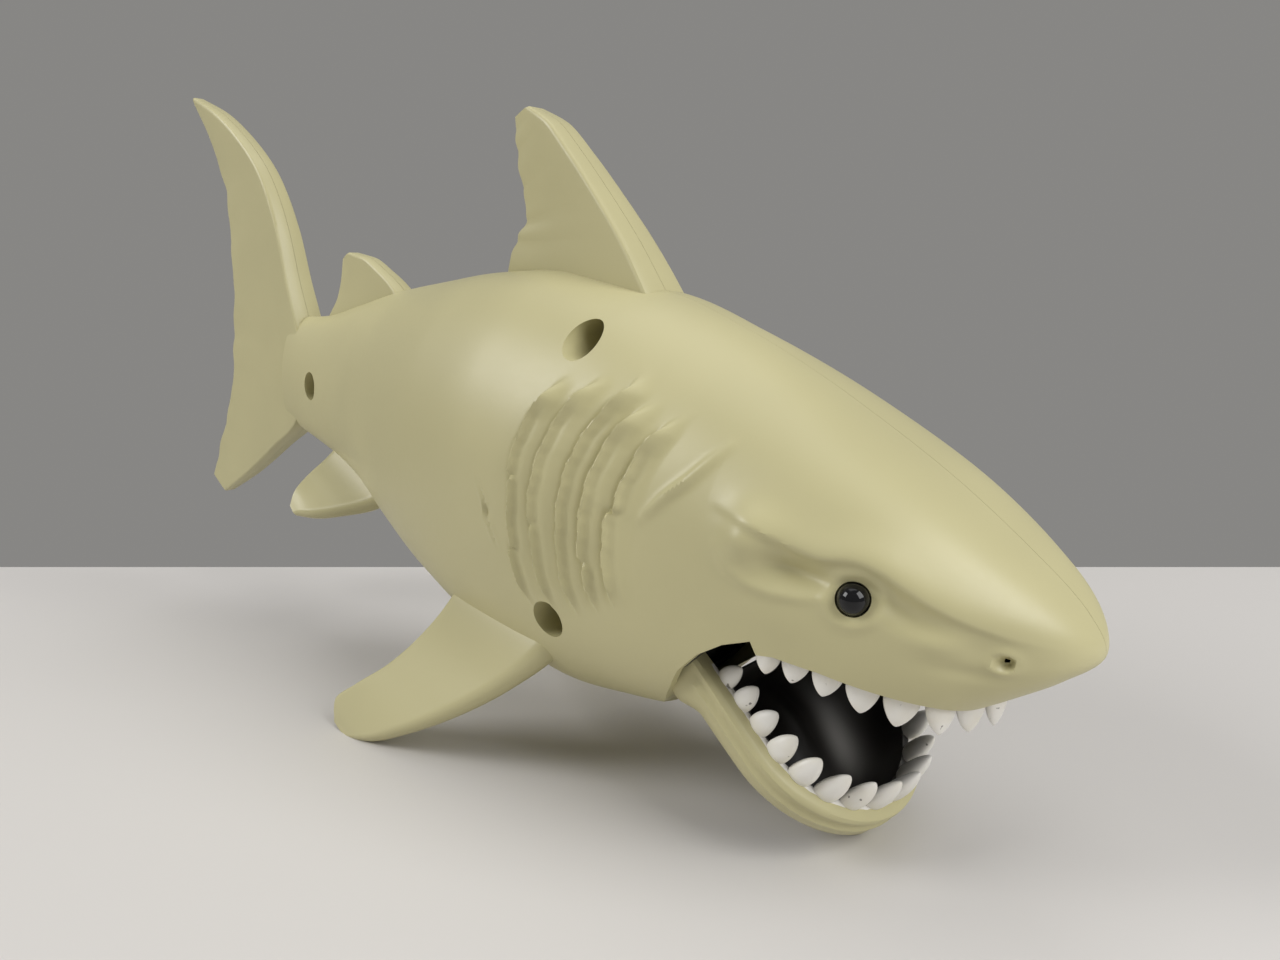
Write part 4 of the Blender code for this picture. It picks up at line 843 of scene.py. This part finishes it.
def row_of_teeth(name, row, down, material):
    """A tooth is shaped from a sphere for each place in the row."""
    bpy.ops.mesh.primitive_uv_sphere_add(segments=28, ring_count=20, radius=1.0)
    first = bpy.context.object
    teeth = []
    for k, (place, out, (width, thickness, height)) in enumerate(row):
        tooth = first.copy()
        tooth.data = first.data.copy()
        bpy.context.scene.collection.objects.link(tooth)
        across = Vector((-out.y, out.x, 0.0))
        up = Vector((0.0, 0.0, -1.0 if down else 1.0))
        lean = 0.10 * math.sin(k * 2.4)
        for v in tooth.data.vertices:
            x, y, z = v.co
            rise = max(z, 0.0)
            belly = math.sqrt(max(1.0 - z * z, 1e-6))
            taper = (1.0 - rise ** 1.5) ** 0.68 if down else (1.0 - rise ** 1.9) ** 0.66
            wide = taper / belly if 0.0 < z < 0.999 else 1.0
            tilt = TOOTH_LEAN * rise if down else -0.22 * rise * rise
            widest = (UPPER_WIDEST if down else LOWER_WIDEST) * height
            tall = widest + z * (height - widest if z > 0.0 else widest + TOOTH_ROOT)
            p = place + across * (0.5 * width * (x * wide + lean * rise * rise))
            p += out * (0.5 * thickness * (y * wide + tilt)) + up * tall
            v.co = p * MM
        teeth.append(tooth)
    bpy.data.objects.remove(first, do_unlink=True)
    bpy.ops.object.select_all(action="DESELECT")
    for tooth in teeth:
        tooth.select_set(True)
    bpy.context.view_layer.objects.active = teeth[0]
    bpy.ops.object.join()
    obj = bpy.context.object
    obj.name = name
    edit_all(obj, (bpy.ops.mesh.normals_make_consistent, {"inside": False}))
    obj.data.materials.clear()
    obj.data.materials.append(material)
    return obj


def liner_roof():
    return ((-LINER_FRONT, -14.6), (-17.5, -10.0), (-26.0, -7.4), (-40.0, -4.6), (-56.0, -2.0),
            (-72.5, -1.5), (-LINER_BACK + 1.2, -5.0), (-LINER_BACK, -12.0), (-LINER_BACK, -LINER_FOOT))


def offset_line(line, distance):
    made = []
    for k, (x, z) in enumerate(line):
        before, after = line[max(k - 1, 0)], line[min(k + 1, len(line) - 1)]
        run = Vector((after[0] - before[0], after[1] - before[1])).normalized()
        made.append((x - run.y * distance, z + run.x * distance))
    return tuple(made)


# Materials

class Wire:
    """A shader socket that takes part in Python arithmetic."""

    def __init__(self, bench, socket):
        self.bench, self.socket = bench, socket

    def _math(self, operation, *others):
        inputs = dict(enumerate((self, *others)))
        return self.bench.node("ShaderNodeMath", {"operation": operation}, inputs)

    def __add__(self, other):
        return self._math("ADD", other)

    __radd__ = __add__

    def __sub__(self, other):
        return self._math("SUBTRACT", other)

    def __rsub__(self, other):
        return self.bench.node("ShaderNodeMath", {"operation": "SUBTRACT"}, {0: other, 1: self})

    def __mul__(self, other):
        return self._math("MULTIPLY", other)

    __rmul__ = __mul__

    def between(self, low, high):
        """0 below low, 1 above high, smooth between them."""
        return self.bench.node("ShaderNodeMapRange", {"interpolation_type": "SMOOTHSTEP"},
                               {0: self, 1: low, 2: high})


class Bench:
    """A material under construction."""

    def __init__(self, name, colour, roughness):
        self.material = bpy.data.materials.new(name)
        self.material.use_nodes = True
        self.tree = self.material.node_tree
        self.shader = self.tree.nodes["Principled BSDF"]
        self.look("Base Color", colour)
        self.look("Roughness", roughness)
        self.material.diffuse_color = (*colour, 1.0)

    def node(self, kind, settings, inputs, output=0):
        made = self.tree.nodes.new(kind)
        for key, value in settings.items():
            setattr(made, key, value)
        for key, value in inputs.items():
            self.feed(made.inputs[key], value)
        return Wire(self, made.outputs[output])

    def feed(self, socket, value):
        if isinstance(value, Wire):
            self.tree.links.new(value.socket, socket)
        elif isinstance(value, (tuple, list)) and socket.type == "RGBA":
            socket.default_value = (*value[:3], 1.0)
        else:
            socket.default_value = value

    def noise(self, scale, detail=2.0):
        place = self.node("ShaderNodeTexCoord", {}, {}, "Object")
        inputs = {"Vector": place, "Scale": scale, "Detail": detail, "Roughness": 0.5}
        return self.node("ShaderNodeTexNoise", {}, inputs)

    def mark(self, name):
        """A soft mark that is stored on the mesh."""
        return self.node("ShaderNodeAttribute", {"attribute_name": name}, {}, "Fac")

    def mix(self, factor, a, b):
        inputs = {"Factor": factor, 6: a, 7: b}
        return self.node("ShaderNodeMix", {"data_type": "RGBA"}, inputs, 2)

    def look(self, name, value):
        """Feed one input of the material's shader."""
        self.feed(self.shader.inputs[name], value)

    def bump(self, height, strength, distance):
        inputs = {"Height": height, "Strength": strength, "Distance": distance}
        self.look("Normal", self.node("ShaderNodeBump", {}, inputs))


def plastic_material():
    """Greige moulded plastic, satin, a little uneven."""
    colour = tuple(paint().plastic)
    bench = Bench("shark_plastic", colour, 0.36)
    cloud = bench.noise(14.0, 3.0).between(0.35, 0.65)
    pale = tuple(min(c * 1.05, 1.0) for c in colour)
    dark = tuple(c * 0.955 for c in colour)
    bench.look("Base Color", bench.mix(cloud, dark, pale))
    grain = bench.noise(900.0, 2.0)
    bench.look("Roughness", 0.35 + grain * 0.10)
    bench.bump(grain, 0.10, 0.00012)
    return bench.material


def white_material():
    """White paint of the teeth, with a few small dark specks and a warmer tone here and there."""
    colour = tuple(paint().white)
    bench = Bench("tooth_white", colour, 0.42)
    speck = bench.noise(620.0, 1.0).between(0.735, 0.775)
    warm = bench.noise(160.0, 2.0).between(0.40, 0.75)
    aged = tuple(c * f for c, f in zip(colour, (0.92, 0.89, 0.80)))
    tone = bench.mix(warm * 0.6, colour, aged)
    bench.look("Base Color", bench.mix(speck * 0.8, tone, (0.10, 0.09, 0.07)))
    bench.bump(bench.noise(420.0, 2.0), 0.10, 0.0002)
    return bench.material


def black_material():
    """Black paint of the mouth's inside."""
    colour = tuple(paint().black)
    bench = Bench("mouth_black", colour, 0.42)
    grain = bench.noise(300.0, 2.0)
    bench.look("Roughness", 0.36 + grain * 0.16)
    bench.bump(grain, 0.12, 0.0002)
    return bench.material


def gloss_material():
    """Glossy black of the bead eyes."""
    bench = Bench("eye_black", (0.006, 0.006, 0.007), 0.06)
    bench.look("Specular IOR Level", 0.35)
    return bench.material


def steel_material():
    bench = Bench("screw_steel", (0.42, 0.41, 0.39), 0.38)
    bench.look("Metallic", 1.0)
    return bench.material


def jaw_material():
    """Jaw: plastic outside, black inside, white paint run over at the gum, and a grey patch on the
    floor that is partly grey tongue paint and partly a painted sheen.
    """
    colour, white, black = tuple(paint().plastic), tuple(paint().white), tuple(paint().black)
    bench = Bench("jaw_plastic", colour, 0.42)
    inside, gum = bench.mark("inside"), bench.mark("gum")
    ragged = bench.noise(330.0, 3.0)
    paint_in = (inside + (ragged - 0.5) * 0.5).between(0.42, 0.58)
    paint_gum = (gum + (ragged - 0.5) * 0.7).between(0.45, 0.60)
    # Painted sheen: the grey patch on the black floor is partly the tongue's grey paint and partly
    # light painted where it falls on the floor.
    dark = bench.mix(bench.mark("tongue") * 0.8, black, (0.30, 0.29, 0.27))
    tone = bench.mix(paint_gum, colour, white)
    bench.look("Base Color", bench.mix(paint_in, tone, dark))
    bench.bump(ragged, 0.06, 0.0002)
    return bench.material


def paint_marks(obj, marks):
    """Store soft 0 to 1 marks on the mesh's points, for the materials."""
    for name, values in marks.items():
        mark = obj.data.attributes.new(name, "FLOAT", "POINT")
        mark.data.foreach_set("value", np.asarray(values, np.float32))


# Operators

class TOYSHARK_OT_shells(bpy.types.Operator):
    """Model the two half shells with fins, gills and face"""
    bl_idname = "toy_shark.shells"
    bl_label = "Half Shells"

    def execute(self, context):
        material = plastic_material()
        for side, label in ((RIGHT, "right"), (LEFT, "left")):
            shell = half_shell(side, label)
            finish_piece(shell, SHARK, "body", [f"body_shell_{label}"], material)
        return {"FINISHED"}


class TOYSHARK_OT_jaw(bpy.types.Operator):
    """Model the lower jaw with its teeth, tongue and trunnions"""
    bl_idname = "toy_shark.jaw"
    bl_label = "Lower Jaw"

    def execute(self, context):
        hull = tube("jaw_skin", jaw_scoop())
        half = JAW_HALF_WIDTH - ARM_THICKNESS
        gap = ((-10.0, 10.0), (-10.0, -30.0), (JAW_REAR, -30.0), (JAW_REAR + 0.3, 10.0))
        combine(hull, slab("jaw_gap", gap, -half, half), "DIFFERENCE")
        for side in (RIGHT, LEFT):
            bar = rod("trunnion", TRUNNION_RADIUS, (0.0, side * (JAW_HALF_WIDTH - 1.8), 0.0),
                      (0.0, side * (JAW_HALF_WIDTH + TRUNNION_LENGTH), 0.0))
            combine(hull, bar, "UNION")
        cut_at_table(hull, JAW)
        x, y, z = coordinates(hull).T / MM
        inward = jaw_inward(x, y)
        outer = z < jaw_level(x, 2) + 0.55 * JAW_SKIN
        arm = 1.0 - ease(3.0, 11.0, x + 0.35 * z)
        mouth_side = ease(GUM_WIDTH - 1.6, GUM_WIDTH - 0.2, inward)
        paint_marks(hull, {
            "inside": np.where(outer, 0.0, np.maximum(mouth_side, 0.85 * arm)),
            "gum": ease(2.0, 3.0, inward) * (z > 1.4) * ease(9.0, 13.0, x),
            # The tongue mark is partly grey tongue paint and partly a painted sheen, set off-centre
            # where light falls on the jaw's floor.
            "tongue": np.exp(-((x - 36.0) / 9.0) ** 2 - ((y - 12.5 + 0.35 * (x - 36.0)) / 4.0) ** 2),
        })
        finish_piece(hull, JAW, "jaw", ["lower_jaw"], jaw_material())
        row = tooth_row(lower_gum, LOWER_TEETH, LOWER_FRONT, LOWER_REAR)
        teeth = row_of_teeth("lower_teeth", row, False, white_material())
        finish_piece(teeth, JAW, "jaw", [], None, 60.0)
        return {"FINISHED"}


class TOYSHARK_OT_liner(bpy.types.Operator):
    """Model the black mouth liner and the upper teeth"""
    bl_idname = "toy_shark.liner"
    bl_label = "Mouth Liner"

    def execute(self, context):
        roof = liner_roof()
        outside = offset_line(roof, -LINER_THICKNESS) + ((-LINER_FRONT, -LINER_FOOT),)
        inside = roof[:-1] + ((-LINER_BACK, -LINER_FOOT - 10.0),
                              (-LINER_FRONT + 20.0, -LINER_FOOT - 10.0))
        liner = slab("liner", outside, -LINER_WIDE, LINER_WIDE)
        combine(liner, head_room("room", LINER_CLEAR, 92.0), "INTERSECT")
        inner = slab("inner", inside, -LINER_WIDE, LINER_WIDE)
        combine(inner, head_room("narrow", LINER_CLEAR + LINER_THICKNESS, 92.0), "INTERSECT")
        combine(liner, inner, "DIFFERENCE")
        combine(liner, mouth_slab("mouth", LINER_CUT), "DIFFERENCE")
        for side in (RIGHT, LEFT):
            start, end = (HINGE + (0.0, side * reach, 0.0) for reach in (20.0, WIDE))
            combine(liner, rod("boss", BOSS_ROOM, start, end), "DIFFERENCE")
            reach = sorted((side * (JAW_HALF_WIDTH - ARM_THICKNESS - SWEEP_ROOM),
                            side * (JAW_HALF_WIDTH + SWEEP_ROOM)))
            combine(liner, slab("arm_room", ARM_ROOM, *reach), "DIFFERENCE")
        finish_piece(liner, SHARK, "body", ["mouth_liner"], black_material())
        row = tooth_row(upper_gum, UPPER_TEETH, UPPER_FRONT, UPPER_REAR)
        teeth = row_of_teeth("upper_teeth", row, True, bpy.data.materials["tooth_white"])
        finish_piece(teeth, SHARK, "body", [], None, 60.0)
        return {"FINISHED"}


class TOYSHARK_OT_eyes(bpy.types.Operator):
    """Model the two bead eyes with their stems"""
    bl_idname = "toy_shark.eyes"
    bl_label = "Bead Eyes"

    def execute(self, context):
        material = gloss_material()
        for side, label in ((RIGHT, "right"), (LEFT, "left")):
            eye = bead(f"bead_{label}", side, EYE_RADIUS, EYE_SINK)
            point, out = eye_frame(side)
            start, end = (point - out * depth for depth in STEM_REACH)
            combine(eye, rod("stem", STEM_RADIUS, start, end), "UNION")
            finish_piece(eye, SHARK, "body", [f"eye_{label}"], material)
        return {"FINISHED"}


class TOYSHARK_OT_screws(bpy.types.Operator):
    """Model the cross-head screws at the bottom of the recesses"""
    bl_idname = "toy_shark.screws"
    bl_label = "Screws"

    def execute(self, context):
        material = steel_material()
        for name, (behind, level) in SCREWS.items():
            head = -(SCREW_FLOOR + 0.05)
            profile = [(r, head + y) for r, y in SCREW_HEAD] + [(1.3, 4.2), (0.02, 6.2)]
            q = np.linspace(0.0, 2.0 * math.pi, 40, endpoint=False)
            rings = [[(-behind + r * math.cos(t), y, level + r * math.sin(t)) for t in q]
                     for r, y in profile]
            screw = tube(f"steel_screw_{name}", rings)
            for wide, tall in ((3.0, 0.6), (0.6, 3.0)):
                corners = [(-behind + a * wide / 2, level + b * tall / 2)
                           for a, b in ((-1, -1), (1, -1), (1, 1), (-1, 1))]
                combine(screw, slab("slot", corners, head - 3.0, head - 1.2), "DIFFERENCE")
            finish_piece(screw, SHARK, "body", [f"screw_{name}"], material)
        return {"FINISHED"}


class TOYSHARK_OT_stage(bpy.types.Operator):
    """Set up the pale floor, the soft lamps and the camera"""
    bl_idname = "toy_shark.stage"
    bl_label = "Stage"

    def execute(self, context):
        snout = SHARK @ Vector((0.0, 0.0, 0.0))
        stand = Vector((snout.x + CAMERA_AHEAD, CAMERA_ACROSS, CAMERA_HEIGHT))
        right, ahead = math.sin(AZIMUTH), math.cos(AZIMUTH)
        bpy.ops.mesh.primitive_plane_add(size=FLOOR_SIZE)
        floor = context.object
        floor.name = "floor"
        middle = Vector((stand.x, stand.y, 0.0))
        middle += Vector((-right, ahead, 0.0)) * (FLOOR_REACH - 0.5 * FLOOR_SIZE)
        floor.data.transform(Matrix.Translation(middle) @ Matrix.Rotation(AZIMUTH, 4, "Z"))
        bench = Bench("pale_floor", tuple(paint().floor), 0.6)
        floor.data.materials.append(bench.material)
        for name, where, size, power in LAMPS:
            bpy.ops.object.light_add(type="AREA", location=where)
            lamp = context.object
            lamp.name = name
            lamp.data.size = size
            lamp.data.energy = power
            lamp.rotation_euler = (AIM - lamp.location).to_track_quat("-Z", "Y").to_euler()
        world = context.scene.world or bpy.data.worlds.new("World")
        context.scene.world = world
        world.use_nodes = True
        back = world.node_tree.nodes["Background"]
        back.inputs[0].default_value = (0.58, 0.57, 0.55, 1.0)
        back.inputs[1].default_value = 0.42
        context.scene.view_settings.view_transform = "Standard"
        flat = math.cos(ELEVATION)
        back_way = Vector((right * flat, -ahead * flat, math.sin(ELEVATION)))
        bpy.ops.object.camera_add(location=stand)
        camera = context.object
        camera.rotation_euler = (-back_way).to_track_quat("-Z", "Y").to_euler()
        camera.data.sensor_width = 36.0
        camera.data.lens = 28.125
        camera.data.clip_start = 0.005
        context.scene.camera = camera
        return {"FINISHED"}


class TOYSHARK_PT_panel(bpy.types.Panel):
    """Panel with the shark's sizes, colours and pieces"""
    bl_label = "Toy Shark"
    bl_idname = "TOYSHARK_PT_panel"
    bl_space_type = "VIEW_3D"
    bl_region_type = "UI"
    bl_category = "Toy Shark"

    def draw(self, context):
        for group in (context.scene.toy_shark_form, context.scene.toy_shark_paint):
            for name in group.__annotations__:
                self.layout.prop(group, name)
        for operator in OPERATORS:
            self.layout.operator(operator.bl_idname)


OPERATORS = (TOYSHARK_OT_shells, TOYSHARK_OT_jaw, TOYSHARK_OT_liner, TOYSHARK_OT_eyes,
             TOYSHARK_OT_screws, TOYSHARK_OT_stage)
CLASSES = (SharkForm, SharkPaint, *OPERATORS, TOYSHARK_PT_panel)


def register():
    for made in CLASSES:
        bpy.utils.register_class(made)
    bpy.types.Scene.toy_shark_form = bpy.props.PointerProperty(type=SharkForm)
    bpy.types.Scene.toy_shark_paint = bpy.props.PointerProperty(type=SharkPaint)


def unregister():
    del bpy.types.Scene.toy_shark_form
    del bpy.types.Scene.toy_shark_paint
    for made in reversed(CLASSES):
        bpy.utils.unregister_class(made)


def main():
    register()
    for operator in OPERATORS:
        getattr(bpy.ops.toy_shark, operator.bl_idname.split(".")[1])()


if __name__ == "__main__":
    main()
